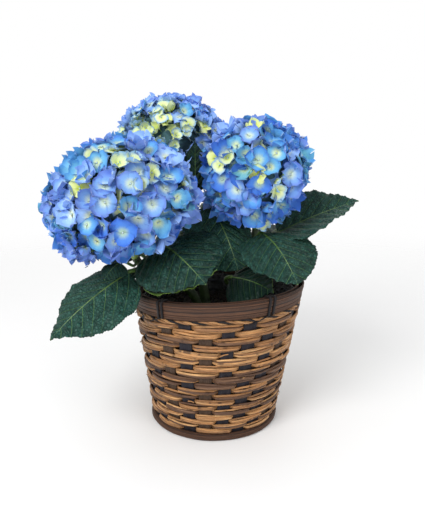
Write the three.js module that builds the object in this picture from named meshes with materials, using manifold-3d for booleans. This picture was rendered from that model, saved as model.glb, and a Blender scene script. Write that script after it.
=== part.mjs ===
// Potted mophead hydrangea in a woven basket: three blue flower heads on three stems, broad
// toothed leaves, a florist's basket with a plastic liner and soil.
// Millimetres, +Z up. The origin is the centre of the basket's underside; -Y is the front.

import * as THREE from 'three';
import { mergeVertices } from 'three/addons/utils/BufferGeometryUtils.js';
import Module from 'manifold-3d';

const wasm = await Module();
wasm.setup();

// ---------------------------------------------------------------- driving dimensions

const CLEAR = 0.3; // gap between neighbours that touch on the real plant

const BASKET = {
  height: 148.5, // to the top of the rim
  footRadius: 63.5, // middle of the woven wall, at the foot
  rimRadius: 87.75, // middle of the woven wall, at the rim
  lean: 5, // the rim sits this far to +X of the foot
  skew: 0.05, // the rim climbs towards +X and -Y by this slope
};

const WEAVE = {
  rows: 19,
  stakes: 24,
  over: 2, // each strand runs over two stakes and behind the third
  firstStake: 21.8, // degrees round from the front; the lowest row passes behind this one
  bottom: 8,
  top: 127,
  rowGrowth: 0.4, // the rows grow taller towards the rim
  crest: 4.2, // strands stand this far out of the wall's middle over a stake
  between: 2.8, // where they dive between two stakes
  window: 0, // where they pass behind one
  groove: 2.2, // the shadow gap between two rows
  inside: 3.5, // the smooth inner face
};

const BASE = { radius: 61.6, thickness: 5 };
const FOOT = { inner: 62.3, outer: 70, height: 7.5, edge: 1.8 };

const RIM = {
  bottom: 131.5,
  outside: 4.4, // the hoops' faces, from the middle of the wall
  inside: 4.2,
  seat: 1.3, // half the space the wall takes between the hoops
  neck: 4, // the woven wall narrows this far below the hoops
  bindings: 5,
  firstBinding: -38.5, // degrees round from the front
  bindingWidth: 8,
  bindingThickness: 1.2,
};

const LINER = { wall: 1, top: 143, bend: 9, clear: 0.8 };
const SOIL = { top: 121, edgeDrop: 3, clear: 3.2, lumps: 2.5, level: 38, shoulder: 58 };
const SMOOTH_SEGMENTS = 30;

const LEAF = { midribThickness: 0.8, petioleRadius: 1.9, petioleSteps: 3, bladeSteps: 7, sides: 8 };
const MERGE_STEP = 0.3; // fused heads drop edges shorter than this
const STEM = { sides: 10, steps: 10 };
const FLORET = { radius: 17, notch: 0.6, cup: 3, root: 20, lean: 0.3, sunk: 1.5, free: 17 };

const COLOURS = {
  sepal: 0x6a92cb,
  weave: 0x8d674a,
  rim: 0x583f33,
  binding: 0x3b2b25,
  stake: 0x2b282d,
  liner: 0x1d2023,
  soil: 0x241a14,
  stem: 0x6f8f45,
  leaf: 0x2c5644,
};

// ---------------------------------------------------------------- stems, heads and leaves

// Each stem starts on the soil and ends under its flower head; `toward` is its last direction.
const STEMS = {
  left: { foot: [-18, -4], tip: [-80, -30, 184], toward: [-0.35, -0.45, 0.82], thick: 5.2, thin: 3.6 },
  back: { foot: [-10, 16], tip: [-45, 52, 236], toward: [-0.1, 0.12, 0.99], thick: 5.4, thin: 3.6 },
  right: { foot: [20, 5], tip: [44, 1, 208], toward: [0.12, -0.08, 0.99], thick: 5.2, thin: 3.5 },
};

// Flower heads: `radii` are across, front to back, and along `axis`, which points out of the stem.
const HEADS = {
  left: { centre: [-88, -58, 242], radii: [77, 63, 66], axis: [-0.3, -0.16, 0.94], florets: 54 },
  back: { centre: [-47, 60, 295], radii: [63, 55, 57], axis: [-0.06, 0.1, 0.99], florets: 45 },
  right: { centre: [43, -14, 265], radii: [61, 56, 62], axis: [0.12, -0.12, 0.98], florets: 45 },
};
const BARE_ANGLE = 138; // no florets further from the axis than this, round the stalk
const CORE_SHARE = 0.74; // dense heart of a head, against its radii
const HEAD_SEED = 21;

// Leaves: `at` is how far up the stem the stalk leaves it, `face` is where the upper side looks,
// `arch` lifts the midrib and `fold` drops the two halves, both against the blade's own size.
const LEAVES = {
  left_long: { stem: 'left', at: 0.85, base: [-84, -52, 174], tip: [-153, -95, 120], width: 83,
    face: [-0.3, -0.6, 0.72], arch: 0.06, fold: 0.1 },
  left_small: { stem: 'left', at: 0.97, base: [-90, -66, 187], tip: [-101, -88, 176], width: 26,
    face: [-0.1, -0.6, 0.8], arch: 0.1, fold: 0.2 },
  front_broad: { stem: 'back', at: 0.66, base: [-54, -36, 201], tip: [-8, -102, 176], width: 88,
    face: [-0.22, -0.5, 0.84], arch: 0.09, fold: 0.14 },
  front_low: { stem: 'left', at: 0.35, base: [-68, -50, 165], tip: [2, -88, 186], width: 48,
    face: [0.0, -0.4, 0.92], arch: -0.06, fold: 0.06 },
  centre: { stem: 'back', at: 0.6, base: [-4, 6, 233], tip: [24, -42, 174], width: 60,
    face: [0.2, -0.8, 0.6], arch: 0.1, fold: 0.14 },
  centre_small: { stem: 'back', at: 0.8, base: [-20, 12, 246], tip: [-20, 18, 299], width: 32,
    face: [0.1, -0.98, 0.1], arch: 0.06, fold: 0.08 },
  right_round: { stem: 'right', at: 0.8, base: [49, -30, 209], tip: [76, -94, 174], width: 75,
    face: [0.1, -0.7, 0.7], arch: 0.11, fold: 0.1 },
  right_long: { stem: 'right', at: 0.9, base: [68, 6, 203], tip: [150, -4, 239], width: 66,
    face: [-0.2, -0.4, 0.88], arch: 0.03, fold: -0.16 },
  right_low: { stem: 'right', at: 0.28, base: [18, -40, 166], tip: [58, -61, 156], width: 60,
    face: [0.05, -0.55, 0.83], arch: 0.1, fold: 0.1 },
  right_back: { stem: 'right', at: 0.6, base: [62, 32, 196], tip: [110, 84, 192], width: 70,
    face: [0.15, 0.1, 0.98], arch: 0.14, fold: 0.12 },
  right_rear: { stem: 'right', at: 0.42, base: [44, 44, 176], tip: [84, 112, 158], width: 66,
    face: [0.2, 0.3, 0.93], arch: 0.16, fold: 0.12 },
  back_right: { stem: 'back', at: 0.78, base: [0, 78, 224], tip: [46, 142, 204], width: 76,
    face: [0.15, 0.3, 0.93], arch: 0.14, fold: 0.12 },
  back_long: { stem: 'back', at: 0.5, base: [-36, 84, 196], tip: [-40, 160, 164], width: 76,
    face: [0.0, 0.4, 0.92], arch: 0.16, fold: 0.12 },
  back_left: { stem: 'back', at: 0.72, base: [-92, 60, 216], tip: [-146, 92, 200], width: 70,
    face: [-0.2, 0.15, 0.96], arch: 0.14, fold: 0.12 },
  back_low: { stem: 'back', at: 0.28, base: [8, 60, 160], tip: [16, 124, 148], width: 60,
    face: [0.1, 0.3, 0.95], arch: 0.14, fold: 0.12 },
  left_low: { stem: 'left', at: 0.3, base: [-58, 18, 160], tip: [-110, 16, 150], width: 56,
    face: [-0.25, 0.1, 0.95], arch: 0.14, fold: 0.12 },
  right_side: { stem: 'right', at: 0.5, base: [64, 0, 178], tip: [103, 6, 165], width: 46,
    face: [0.25, 0.1, 0.95], arch: 0.14, fold: 0.12 },
  left_rear: { stem: 'left', at: 0.5, base: [-78, 8, 178], tip: [-134, 48, 176], width: 68,
    face: [-0.2, 0.05, 0.97], arch: 0.12, fold: 0.12 },
};

// ---------------------------------------------------------------- small helpers

const vec = (a) => new THREE.Vector3(...a);
const unit = (a) => vec(a).normalize();
const mix = THREE.MathUtils.lerp;

// The same small seeded generator everywhere, so the plant grows the same way each time.
function seeded(seed) {
  let state = seed >>> 0;
  return () => {
    state = (state + 0x6d2b79f5) >>> 0;
    let t = state;
    t = Math.imul(t ^ (t >>> 15), t | 1);
    t ^= t + Math.imul(t ^ (t >>> 7), t | 61);
    return ((t ^ (t >>> 14)) >>> 0) / 4294967296;
  };
}

function signedVolume(geometry) {
  const at = geometry.attributes.position;
  const [a, b, c] = [new THREE.Vector3(), new THREE.Vector3(), new THREE.Vector3()];
  let six = 0;
  for (let i = 0; i < geometry.index.count; i += 3) {
    a.fromBufferAttribute(at, geometry.index.getX(i));
    b.fromBufferAttribute(at, geometry.index.getX(i + 1));
    c.fromBufferAttribute(at, geometry.index.getX(i + 2));
    six += a.dot(b.cross(c));
  }
  return six / 6;
}

// One closed body with shared corners, no collapsed faces, and its faces pointing out.
function solid(geometry) {
  geometry.deleteAttribute('normal');
  geometry.deleteAttribute('uv');
  const merged = mergeVertices(geometry, 1e-3);
  const kept = [];
  for (let i = 0; i < merged.index.count; i += 3) {
    const [a, b, c] = [0, 1, 2].map((k) => merged.index.getX(i + k));
    if (a !== b && b !== c && a !== c) kept.push(a, b, c);
  }
  merged.setIndex(kept);
  if (signedVolume(merged) < 0) merged.setIndex(kept.reverse());
  return merged;
}

function moveVertices(geometry, move) {
  const at = geometry.attributes.position;
  const v = new THREE.Vector3();
  for (let i = 0; i < at.count; i += 1) {
    v.fromBufferAttribute(at, i);
    move(v);
    at.setXYZ(i, v.x, v.y, v.z);
  }
  return geometry;
}

// A cylinder whose skin is moved to place(t, angle, radial): t runs 0 to 1 along it, radial is
// 1 on the skin and 0 at the middle of each end.
function sweep(sides, steps, place) {
  const geometry = new THREE.CylinderGeometry(1, 1, 1, sides, steps);
  moveVertices(geometry, (v) => {
    const radial = Math.hypot(v.x, v.z) > 0.5 ? 1 : 0;
    v.copy(place(v.y + 0.5, Math.atan2(v.x, v.z), radial));
  });
  return solid(geometry);
}

// A ring or a disc turned about +Z from a closed profile of [radius, height] points.
function turned(profile, segments = SMOOTH_SEGMENTS) {
  const points = profile.map(([r, z]) => new THREE.Vector2(r, z));
  if (profile[0][0] > 0) points.push(points[0].clone());
  const geometry = new THREE.LatheGeometry(points, segments);
  geometry.rotateX(Math.PI / 2);
  return solid(geometry);
}

const toManifold = (geometry) => new wasm.Manifold(new wasm.Mesh({
  numProp: 3,
  vertProperties: new Float32Array(geometry.attributes.position.array),
  triVerts: new Uint32Array(geometry.index.array),
}));

// Joins overlapping solids into one and keeps its outer skin, so sealed hollows are filled.
function fuse(geometries) {
  const joined = wasm.Manifold.union(geometries.map(toManifold));
  const [outer] = joined.simplify(MERGE_STEP).decompose().sort((a, b) => b.volume() - a.volume());
  const mesh = outer.getMesh();
  const geometry = new THREE.BufferGeometry();
  geometry.setAttribute('position', new THREE.BufferAttribute(mesh.vertProperties, 3));
  geometry.setIndex(new THREE.BufferAttribute(mesh.triVerts, 1));
  return solid(geometry);
}

const plant = new THREE.Group();

function add(name, geometry, color, roughness) {
  const material = new THREE.MeshStandardMaterial({ color, roughness, metalness: 0 });
  const mesh = new THREE.Mesh(geometry, material);
  mesh.name = name;
  plant.add(mesh);
}

// ---------------------------------------------------------------- basket

const wallRadius = (z) => mix(BASKET.footRadius, BASKET.rimRadius, z / BASKET.height);

// The hand-made basket leans a little, and its rim isn't quite level.
const lean = (geometry) => moveVertices(geometry, (v) => {
  const up = v.z / BASKET.height;
  v.z += BASKET.skew * (v.x - v.y) * up;
  v.x += BASKET.lean * up;
});

// Heights of the row boundaries: each row is a little taller than the one below.
function rowBoundary(row) {
  const share = row / WEAVE.rows;
  const bent = share + (WEAVE.rowGrowth / 2) * share * (share - 1);
  return mix(WEAVE.bottom, WEAVE.top, bent);
}

const isOver = (row, stake) => (row - stake + 3 * WEAVE.stakes) % (WEAVE.over + 1) !== 0;

// How far a strand stands out at one half step round the wall: whole steps are stakes.
function weaveRelief(row, halfStep) {
  const before = isOver(row, Math.floor(halfStep / 2));
  const after = isOver(row, Math.ceil(halfStep / 2));
  if (before && after) return WEAVE.crest;
  return before || after ? WEAVE.between : WEAVE.window;
}

// The wall's rings from the bottom: even ones are the middles of rows, odd ones the gaps between.
function ringRelief(ring, halfStep) {
  const below = weaveRelief(Math.floor(ring / 2), halfStep);
  const above = weaveRelief(Math.ceil(ring / 2), halfStep);
  return ring % 2 === 0 ? below : Math.min(below, above, WEAVE.groove);
}

function basketWeave() {
  const rings = Array.from({ length: 2 * WEAVE.rows - 1 }, (_, ring) => rowBoundary((ring + 1) / 2));
  const wallPoint = (z, offset) => [wallRadius(z) + offset, z];
  const half = RIM.seat - CLEAR;
  const neck = RIM.bottom - RIM.neck + CLEAR;
  const lip = BASKET.height - 2;
  const columns = 2 * WEAVE.stakes;
  const geometry = turned([
    wallPoint(WEAVE.bottom, WEAVE.between),
    ...rings.map((z) => wallPoint(z, 0)),
    wallPoint(WEAVE.top, WEAVE.between),
    wallPoint(neck, half),
    wallPoint(lip, half),
    wallPoint(lip, -half),
    wallPoint(neck, -half),
    wallPoint(WEAVE.top - RIM.neck, -WEAVE.inside),
    wallPoint(WEAVE.bottom, -WEAVE.inside),
  ], columns);
  moveVertices(geometry, (v) => {
    const radius = Math.hypot(v.x, v.y);
    const ring = rings.findIndex((z) => Math.abs(z - v.z) < 0.01);
    if (ring < 0 || Math.abs(radius - wallRadius(v.z)) > 0.1) return;
    const turn = (Math.atan2(v.x, -v.y) / (2 * Math.PI) + 1) % 1;
    const moved = (radius + ringRelief(ring, Math.round(turn * columns))) / radius;
    v.x *= moved;
    v.y *= moved;
  });
  geometry.rotateZ(THREE.MathUtils.degToRad(WEAVE.firstStake));
  return lean(geometry);
}

// A rim hoop of split wood between two offsets from the wall's middle.
function rimHoop(inner, outer) {
  const [bottom, top, edge] = [RIM.bottom, BASKET.height, 1.2];
  const near = (z) => wallRadius(z) + inner;
  const far = (z) => wallRadius(z) + outer;
  return lean(turned([
    [near(bottom), bottom],
    [far(bottom), bottom],
    [far(top - edge), top - edge],
    [far(top) - edge, top],
    [near(top), top],
  ], 2 * WEAVE.stakes));
}

function basketBase() {
  const { radius, thickness } = BASE;
  return turned([[0, 0], [radius, 0], [radius, thickness], [0, thickness]]);
}

function footHoop() {
  const { inner, outer, height: high, edge } = FOOT;
  return turned([
    [inner, 0], [outer - edge, 0], [outer, edge],
    [outer, high - edge], [outer - edge, high], [inner, high],
  ]);
}

// One lashing over the rim: a saddle down the outside, across the top and down the inside.
function rimBinding(degrees) {
  const t = RIM.bindingThickness;
  const outside = RIM.outside + CLEAR;
  const inside = -RIM.inside - CLEAR;
  const top = BASKET.height + CLEAR;
  const low = RIM.bottom + 0.5;
  const outline = new THREE.Shape([
    [outside, low], [outside + t, low], [outside + t, top + t], [inside - t, top + t],
    [inside - t, low], [inside, low], [inside, top], [outside, top],
  ].map(([r, z]) => new THREE.Vector2(r, z)));
  const half = RIM.bindingWidth / 2;
  const geometry = new THREE.ExtrudeGeometry(outline, { depth: 2 * half, bevelEnabled: false });
  geometry.translate(0, 0, -half);
  const angle = THREE.MathUtils.degToRad(degrees);
  moveVertices(geometry, (v) => {
    const radius = wallRadius(v.y) + v.x;
    const around = angle + v.z / wallRadius(v.y);
    v.set(radius * Math.sin(around), -radius * Math.cos(around), v.y);
  });
  return solid(lean(geometry));
}

function linerCup() {
  const { bend, top, wall } = LINER;
  const floor = BASE.thickness + CLEAR;
  const body = WEAVE.inside + LINER.clear; // how far inside the wall's middle the film hangs
  const neck = RIM.inside + RIM.bindingThickness + 2 * CLEAR; // and where it clears the lashings
  const levels = [[floor + bend, body], [110, body], [RIM.bottom - 3, neck], [top, neck]];
  const outside = levels.map(([z, inset]) => [wallRadius(z) - inset, z]);
  const inside = levels.map(([z, inset]) => [wallRadius(z) - inset - wall, z]).reverse();
  const flat = wallRadius(floor) - body - bend;
  return lean(turned([
    [0, floor], [flat, floor], ...outside, ...inside, [flat, floor + wall], [0, floor + wall],
  ]));
}

function soilBody() {
  const { top, edgeDrop, clear, level, shoulder } = SOIL;
  const edge = (z) => wallRadius(z) - WEAVE.inside - LINER.wall - clear;
  const floor = BASE.thickness + LINER.wall + 2 * CLEAR;
  const bend = LINER.bend + CLEAR;
  const geometry = turned([
    [0, floor], [edge(floor) - bend, floor], [edge(floor + bend), floor + bend],
    [edge(top - edgeDrop), top - edgeDrop], [shoulder, top - 1], [level, top], [0, top],
  ]);
  const random = seeded(11);
  return moveVertices(geometry, (v) => {
    const lumpy = v.z > top - 2 && Math.hypot(v.x, v.y) > level + 1;
    if (lumpy) v.z += SOIL.lumps * (random() - 0.5);
    v.x += (BASKET.lean * v.z) / BASKET.height;
  });
}

// ---------------------------------------------------------------- stems

function stemCurve({ foot, tip, toward }) {
  const start = new THREE.Vector3(foot[0], foot[1], SOIL.top + CLEAR);
  const end = vec(tip);
  const reach = start.distanceTo(end) * 0.38;
  return new THREE.CubicBezierCurve3(
    start,
    start.clone().add(new THREE.Vector3(0, 0, reach)),
    end.clone().addScaledVector(unit(toward), -reach),
    end,
  );
}

const stemRadius = ({ thick, thin }, t) => mix(thick, thin, t) + 1.6 * Math.exp(-t * 30);

// Two directions square to a tangent, turned the same way all along a curve.
function across(tangent, reference) {
  const side = new THREE.Vector3().crossVectors(tangent, reference).normalize();
  const up = new THREE.Vector3().crossVectors(side, tangent).normalize();
  return [side, up];
}

function limb(curve, radiusAt, sides, steps) {
  const reference = new THREE.Vector3(0, 1, 0);
  return sweep(sides, steps, (t, angle, radial) => {
    const [side, up] = across(curve.getTangentAt(t), reference);
    const radius = radiusAt(t) * radial;
    return curve.getPointAt(t)
      .addScaledVector(side, radius * Math.sin(angle))
      .addScaledVector(up, radius * Math.cos(angle));
  });
}

// ---------------------------------------------------------------- leaves

// Share of the full half width at u along the blade: broad below the middle, drawn to a point.
const bladeOutline = (u) => Math.max(0, Math.sin(Math.PI * u ** 0.72)) ** (0.6 + 0.5 * u);

function leafShape(leaf) {
  const stem = STEMS[leaf.stem];
  const curve = stemCurve(stem);
  const joint = curve.getPointAt(leaf.at);
  const along = curve.getTangentAt(leaf.at);
  const [base, tip] = [vec(leaf.base), vec(leaf.tip)];
  const axis = tip.clone().sub(base);
  const length = axis.length();
  axis.normalize();
  const side = new THREE.Vector3().crossVectors(axis, unit(leaf.face)).normalize();
  const normal = new THREE.Vector3().crossVectors(side, axis).normalize();

  const out = base.clone().sub(joint);
  out.addScaledVector(along, -out.dot(along)).normalize();
  const start = joint.clone().addScaledVector(out, stemRadius(stem, leaf.at) + CLEAR);
  const reach = start.distanceTo(base) * 0.4;
  const rise = axis.clone().addScaledVector(normal, 4 * leaf.arch).normalize();
  const petiole = new THREE.CubicBezierCurve3(
    start,
    start.clone().addScaledVector(out, reach),
    base.clone().addScaledVector(rise, -reach),
    base,
  );
  const midrib = (u) => base.clone()
    .addScaledVector(axis, length * u)
    .addScaledVector(normal, 4 * leaf.arch * length * u * (1 - u));
  return { petiole, midrib, side, normal, half: leaf.width / 2 };
}

function leafBlade(leaf) {
  const { petiole, midrib, side, normal, half } = leafShape(leaf);
  const steps = LEAF.petioleSteps + LEAF.bladeSteps;
  const split = LEAF.petioleSteps / steps;
  return sweep(LEAF.sides, steps, (t, angle, radial) => {
    const sideways = Math.sin(angle) * radial;
    const through = Math.cos(angle) * radial;
    if (t < split - 1e-6) {
      const s = t / split;
      const [across1, across2] = across(petiole.getTangentAt(s), normal);
      return petiole.getPointAt(s)
        .addScaledVector(across1, LEAF.petioleRadius * sideways)
        .addScaledVector(across2, LEAF.petioleRadius * through);
    }
    const u = Math.max(0, (t - split) / (1 - split));
    const width = Math.max(half * bladeOutline(u), u < 0.5 ? LEAF.petioleRadius : 0.7);
    const thickness = mix(LEAF.petioleRadius, LEAF.midribThickness, Math.min(1, u * 6));
    return midrib(u)
      .addScaledVector(side, width * sideways)
      .addScaledVector(normal, thickness * through - leaf.fold * 2 * width * Math.abs(sideways));
  });
}

// ---------------------------------------------------------------- flower heads

// One floret of four sepals: a star-shaped cup on a stalk that runs down into the head.
function floret(place, outward, roll, size) {
  const outline = FLORET.radius * size;
  const [side, up] = across(outward, new THREE.Vector3(0.31, 0.52, 0.8));
  const geometry = new THREE.SphereGeometry(1, 8, 2);
  moveVertices(geometry, (v) => {
    const radial = Math.hypot(v.x, v.z);
    if (radial < 0.01) {
      const height = v.y > 0 ? -FLORET.cup : -FLORET.root;
      v.copy(place).addScaledVector(outward, height * size);
      return;
    }
    const angle = Math.atan2(v.z, v.x);
    const corner = Math.round((angle / Math.PI) * 4);
    const isTip = Math.abs(corner) % 2 === 0;
    const reach = outline * (isTip ? 1 : FLORET.notch);
    const height = isTip ? 0 : -0.5 * FLORET.cup * size;
    v.copy(place)
      .addScaledVector(side, reach * Math.cos(angle + roll))
      .addScaledVector(up, reach * Math.sin(angle + roll))
      .addScaledVector(outward, height);
  });
  return solid(geometry);
}

function headFrame(head) {
  return new THREE.Quaternion().setFromUnitVectors(new THREE.Vector3(0, 0, 1), unit(head.axis));
}

// Points spread over every blade, which the florets keep clear of.
const BLADE_POINTS = Object.values(LEAVES).flatMap((leaf) => {
  const { midrib, side, half } = leafShape(leaf);
  return [0, 0.25, 0.5, 0.75, 1].flatMap((u) => [-0.7, 0, 0.7].map((share) =>
    midrib(u).addScaledVector(side, share * half * bladeOutline(u))));
});
const nearLeaf = (place) => BLADE_POINTS.some((point) => point.distanceTo(place) < FLORET.free);

// Florets sit on a golden-angle spiral over the head, from its crown to the bare stalk side.
function headFlorets(head, seed) {
  const random = seeded(seed);
  const turn = headFrame(head);
  const [rx, ry, rz] = head.radii;
  const golden = Math.PI * (3 - Math.sqrt(5));
  const lowest = Math.cos(THREE.MathUtils.degToRad(BARE_ANGLE));
  const list = [];
  for (let i = 0; i < head.florets; i += 1) {
    const height = mix(1, lowest, (i + 0.5) / head.florets);
    const level = Math.sqrt(1 - height * height);
    const round = i * golden + 0.3 * random();
    const spot = new THREE.Vector3(level * Math.cos(round), level * Math.sin(round), height);
    const size = mix(0.86, 1.1, random());
    const sunk = FLORET.sunk + 4 * random();
    const outward = new THREE.Vector3(spot.x / rx, spot.y / ry, spot.z / rz).normalize();
    const place = new THREE.Vector3(spot.x * rx, spot.y * ry, spot.z * rz)
      .addScaledVector(outward, -sunk).applyQuaternion(turn).add(vec(head.centre));
    const wobble = new THREE.Vector3(random() - 0.5, random() - 0.5, random() - 0.5);
    outward.addScaledVector(wobble, 2 * FLORET.lean).normalize().applyQuaternion(turn);
    const roll = random() * Math.PI;
    const stalk = place.clone().addScaledVector(outward, -FLORET.root / 2);
    if (!nearLeaf(place) && !nearLeaf(stalk)) list.push({ place, outward, roll, size });
  }
  return list;
}

function headSolid(name, seed) {
  const head = HEADS[name];
  const stem = STEMS[name];
  const turn = headFrame(head);
  const core = moveVertices(new THREE.IcosahedronGeometry(1, 2), (v) => {
    v.multiply(vec(head.radii)).multiplyScalar(CORE_SHARE).applyQuaternion(turn).add(vec(head.centre));
  });
  const start = vec(stem.tip).addScaledVector(unit(stem.toward), CLEAR);
  const middle = vec(head.centre);
  const reach = start.distanceTo(middle) * 0.4;
  const stalk = new THREE.CubicBezierCurve3(
    start,
    start.clone().addScaledVector(unit(stem.toward), reach),
    middle.clone().addScaledVector(unit(head.axis), -reach),
    middle,
  );
  const stalkSolid = limb(stalk, (t) => stem.thin * (1 + 0.3 * t), STEM.sides, 4);
  const florets = headFlorets(head, seed).map(({ place, outward, roll, size }) =>
    floret(place, outward, roll, size));
  return fuse([solid(core), stalkSolid, ...florets]);
}

// ---------------------------------------------------------------- assembly

add('basket_base', basketBase(), COLOURS.stake, 0.7);
add('basket_foot_hoop', footHoop(), COLOURS.rim, 0.65);
add('basket_weave', basketWeave(), COLOURS.weave, 0.6);
add('basket_rim_outer', rimHoop(RIM.seat, RIM.outside), COLOURS.rim, 0.6);
add('basket_rim_inner', rimHoop(-RIM.inside, -RIM.seat), COLOURS.rim, 0.6);
for (let i = 0; i < RIM.bindings; i += 1) {
  const degrees = RIM.firstBinding + (360 / RIM.bindings) * i;
  add(`rim_binding_${i + 1}`, rimBinding(degrees), COLOURS.binding, 0.7);
}
add('basket_liner', linerCup(), COLOURS.liner, 0.3);
add('soil', soilBody(), COLOURS.soil, 0.95);

Object.entries(STEMS).forEach(([name, stem]) => {
  const radius = (t) => stemRadius(stem, t);
  add(`stem_${name}`, limb(stemCurve(stem), radius, STEM.sides, STEM.steps), COLOURS.stem, 0.6);
});
Object.entries(LEAVES).forEach(([name, leaf]) => {
  add(`leaf_${name}`, leafBlade(leaf), COLOURS.leaf, 0.45);
});
Object.keys(HEADS).forEach((name, i) => {
  add(`flower_head_${name}`, headSolid(name, HEAD_SEED + i), COLOURS.sepal, 0.7);
});

export default plant;
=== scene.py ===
import math

import bmesh
import bpy
import numpy as np
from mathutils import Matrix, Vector


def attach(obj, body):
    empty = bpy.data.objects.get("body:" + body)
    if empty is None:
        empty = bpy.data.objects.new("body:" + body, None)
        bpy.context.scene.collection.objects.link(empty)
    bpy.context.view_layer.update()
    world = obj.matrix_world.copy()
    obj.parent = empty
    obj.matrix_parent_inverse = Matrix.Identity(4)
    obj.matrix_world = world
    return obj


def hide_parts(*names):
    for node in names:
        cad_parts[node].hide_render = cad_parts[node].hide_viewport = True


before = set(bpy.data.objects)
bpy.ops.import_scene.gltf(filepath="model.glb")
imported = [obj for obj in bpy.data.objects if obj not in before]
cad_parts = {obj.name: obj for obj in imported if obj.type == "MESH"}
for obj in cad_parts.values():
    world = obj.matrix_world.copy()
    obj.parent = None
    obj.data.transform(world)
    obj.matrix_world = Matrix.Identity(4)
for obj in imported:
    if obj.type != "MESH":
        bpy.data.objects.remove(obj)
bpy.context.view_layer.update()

# Potted mophead hydrangea in a woven basket. Metres, +Z up, -Y is the front.
# The sizes and growing rules below are the solid model's own, carried on to finer parts.

# ------------ driving dimensions

CLEAR = 0.0003

# The basket's wall, a cone that leans a little.
BASKET_HEIGHT = 0.1485
FOOT_RADIUS = 0.0635
RIM_RADIUS = 0.08775
BASKET_LEAN = 0.005
RIM_SKEW = 0.05

# The weave: rows of strands round flat stakes.
ROWS = 19
STAKES = 24
FIRST_STAKE = math.radians(21.8)
WEAVE_BOTTOM = 0.008
WEAVE_TOP = 0.127
ROW_GROWTH = 0.4
STRANDS_A_ROW = 4
STRAND_SHARE = 0.2
STRAND_RADIUS = 0.0012
STRAND_STEPS = 216
STRAND_SIDES = 7
STRAND_BANDS = 40
LOOSE_ENDS = 14
# How often a strand is brown, in most rows and in the brown ones.
CHANCE_OF_BROWN = (0.22, 0.7)
# The rows rise a little at one place: how far, at what angle and height, how wide and tall.
RISE = 0.0035
RISE_ANGLE = -0.66
RISE_HEIGHT = 0.104
RISE_WIDE = 0.42
RISE_TALL = 0.022
OVER_REACH = 0.0021
UNDER_REACH = -0.0021
BROWN_ROWS = (8, 9, 10)
STAKE_WIDTH = 0.0128
STAKE_THICKNESS = 0.0013
BROWN_STAKES = (2, 5, 9, 12, 14, 17, 20, 22)

# The basket's floor and the rod round its foot.
BASE_RADIUS = 0.0616
BASE_THICKNESS = 0.005
FOOT_INNER = 0.0623
FOOT_OUTER = 0.070
FOOT_HEIGHT = 0.0075

# The rim: two hoops, the strands tied in below them, and the lashings.
RIM_BOTTOM = 0.1315
RIM_OUTSIDE = 0.0044
RIM_INSIDE = 0.0042
RIM_SEAT = 0.0013
HOOP_STRIPS = 24
HOOP_STEPS = 192
HOOP_SIDES = 96
TIE_STRANDS = 3
TIE_SIDES = 8
TIE_TURNS = 22
TIE_HEIGHT = 0.1292
TIE_RADIUS = 0.0012
BINDINGS = 5
FIRST_BINDING = math.radians(-38.5)
BINDING_WIDTH = 0.008
BINDING_THICKNESS = 0.0012
CHAMFER = 0.0018
TAIL_RADIUS = 0.0007

# The film inside the basket, and the soil in it.
WEAVE_INSIDE = 0.0035
LINER_WALL = 0.001
LINER_TOP = 0.143
LINER_BEND = 0.009
LINER_CLEAR = 0.0008
LINER_STEPS = 320
SOIL_TOP = 0.121
SOIL_CLEAR = 0.0032
SOIL_LUMPS = 0.0025
SOIL_STEPS = 160
SOIL_WAVES = 40
CRUMBS = 900

# Stems and leaves.
STEM_STEPS = 120
STEM_SIDES = 24
STEM_RIBS = 0.00016
NODE_SWELL = 0.0007

PETIOLE_RADIUS = 0.0019
LEAF_ROWS = 132
LEAF_COLUMNS = 28
LEAF_THICKNESS = 0.0005
TOOTH_PITCH = 0.0027
VEIN_PAIRS = 7.0
VEIN_SLANT = 0.42
VEIN_BEND = 1.15
TOOTH_DEPTH = 0.0011
QUILT_DEPTH = 0.0016
RIB_GROOVE = 0.0007
EDGE_WAVE = 0.0017
EDGE_RIPPLE = 0.0010

# Flower heads.
BARE_ANGLE = math.radians(138)
CORE_SHARE = 0.74
FLORET_FREE = 0.0125
FLORET_PATTERNS = 16
FLORET_SIZES = (0.0114, 0.0152)
FLORET_WOBBLE = 1.1
YOUNG_SIZE = 0.76
INNER_LAYER = 0.86
INNER_FREE = 0.45
BEAD_RADIUS = 0.0011
PEDICEL_RADIUS = 0.0006
PEDICEL_LENGTH = 0.02
BRANCHES = 22
YOUNG_TONES = (5, 6)
HEAD_SEED = 21

# The camera and the light.
SENSOR = 36
LENS = 580 / 515 * SENSOR
CAMERA_PLACE = (-0.0015, -0.60483, 0.3133)
CAMERA_TARGET = (-0.0015, 0, 0.177)
WORLD_LIGHT = 0.7
# place, aim, size, power
LIGHTS = {
    "Key": ((-0.62, -1.0, 1.05), (0, 0, 0.15), 0.8, 14),
    "Fill": ((0.9, -0.9, 0.7), (0, 0, 0.15), 1.0, 3),
    "Back": ((0.1, 1.1, 1.1), (0, 0, 0.2), 0.9, 3),
}

STEMS = {
    "left": dict(foot=(-18, -4), tip=(-80, -30, 184), toward=(-0.35, -0.45, 0.82), thick=5.2, thin=3.6),
    "back": dict(foot=(-10, 16), tip=(-45, 52, 236), toward=(-0.1, 0.12, 0.99), thick=5.4, thin=3.6),
    "right": dict(foot=(20, 5), tip=(44, 1, 208), toward=(0.12, -0.08, 0.99), thick=5.2, thin=3.5),
}

HEADS = {
    "left": dict(centre=(-88, -58, 242), radii=(77, 63, 66), axis=(-0.3, -0.16, 0.94), florets=180),
    "back": dict(centre=(-47, 60, 295), radii=(63, 55, 57), axis=(-0.06, 0.1, 0.99), florets=200),
    "right": dict(centre=(43, -14, 265), radii=(61, 56, 62), axis=(0.12, -0.12, 0.98), florets=150),
}
FLORET_SCALE = {"left": 1.0, "back": 0.86, "right": 1.0}
# How far in front of a blade the florets keep clear of it.
AHEAD = {"centre_small": 0.007}
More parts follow.
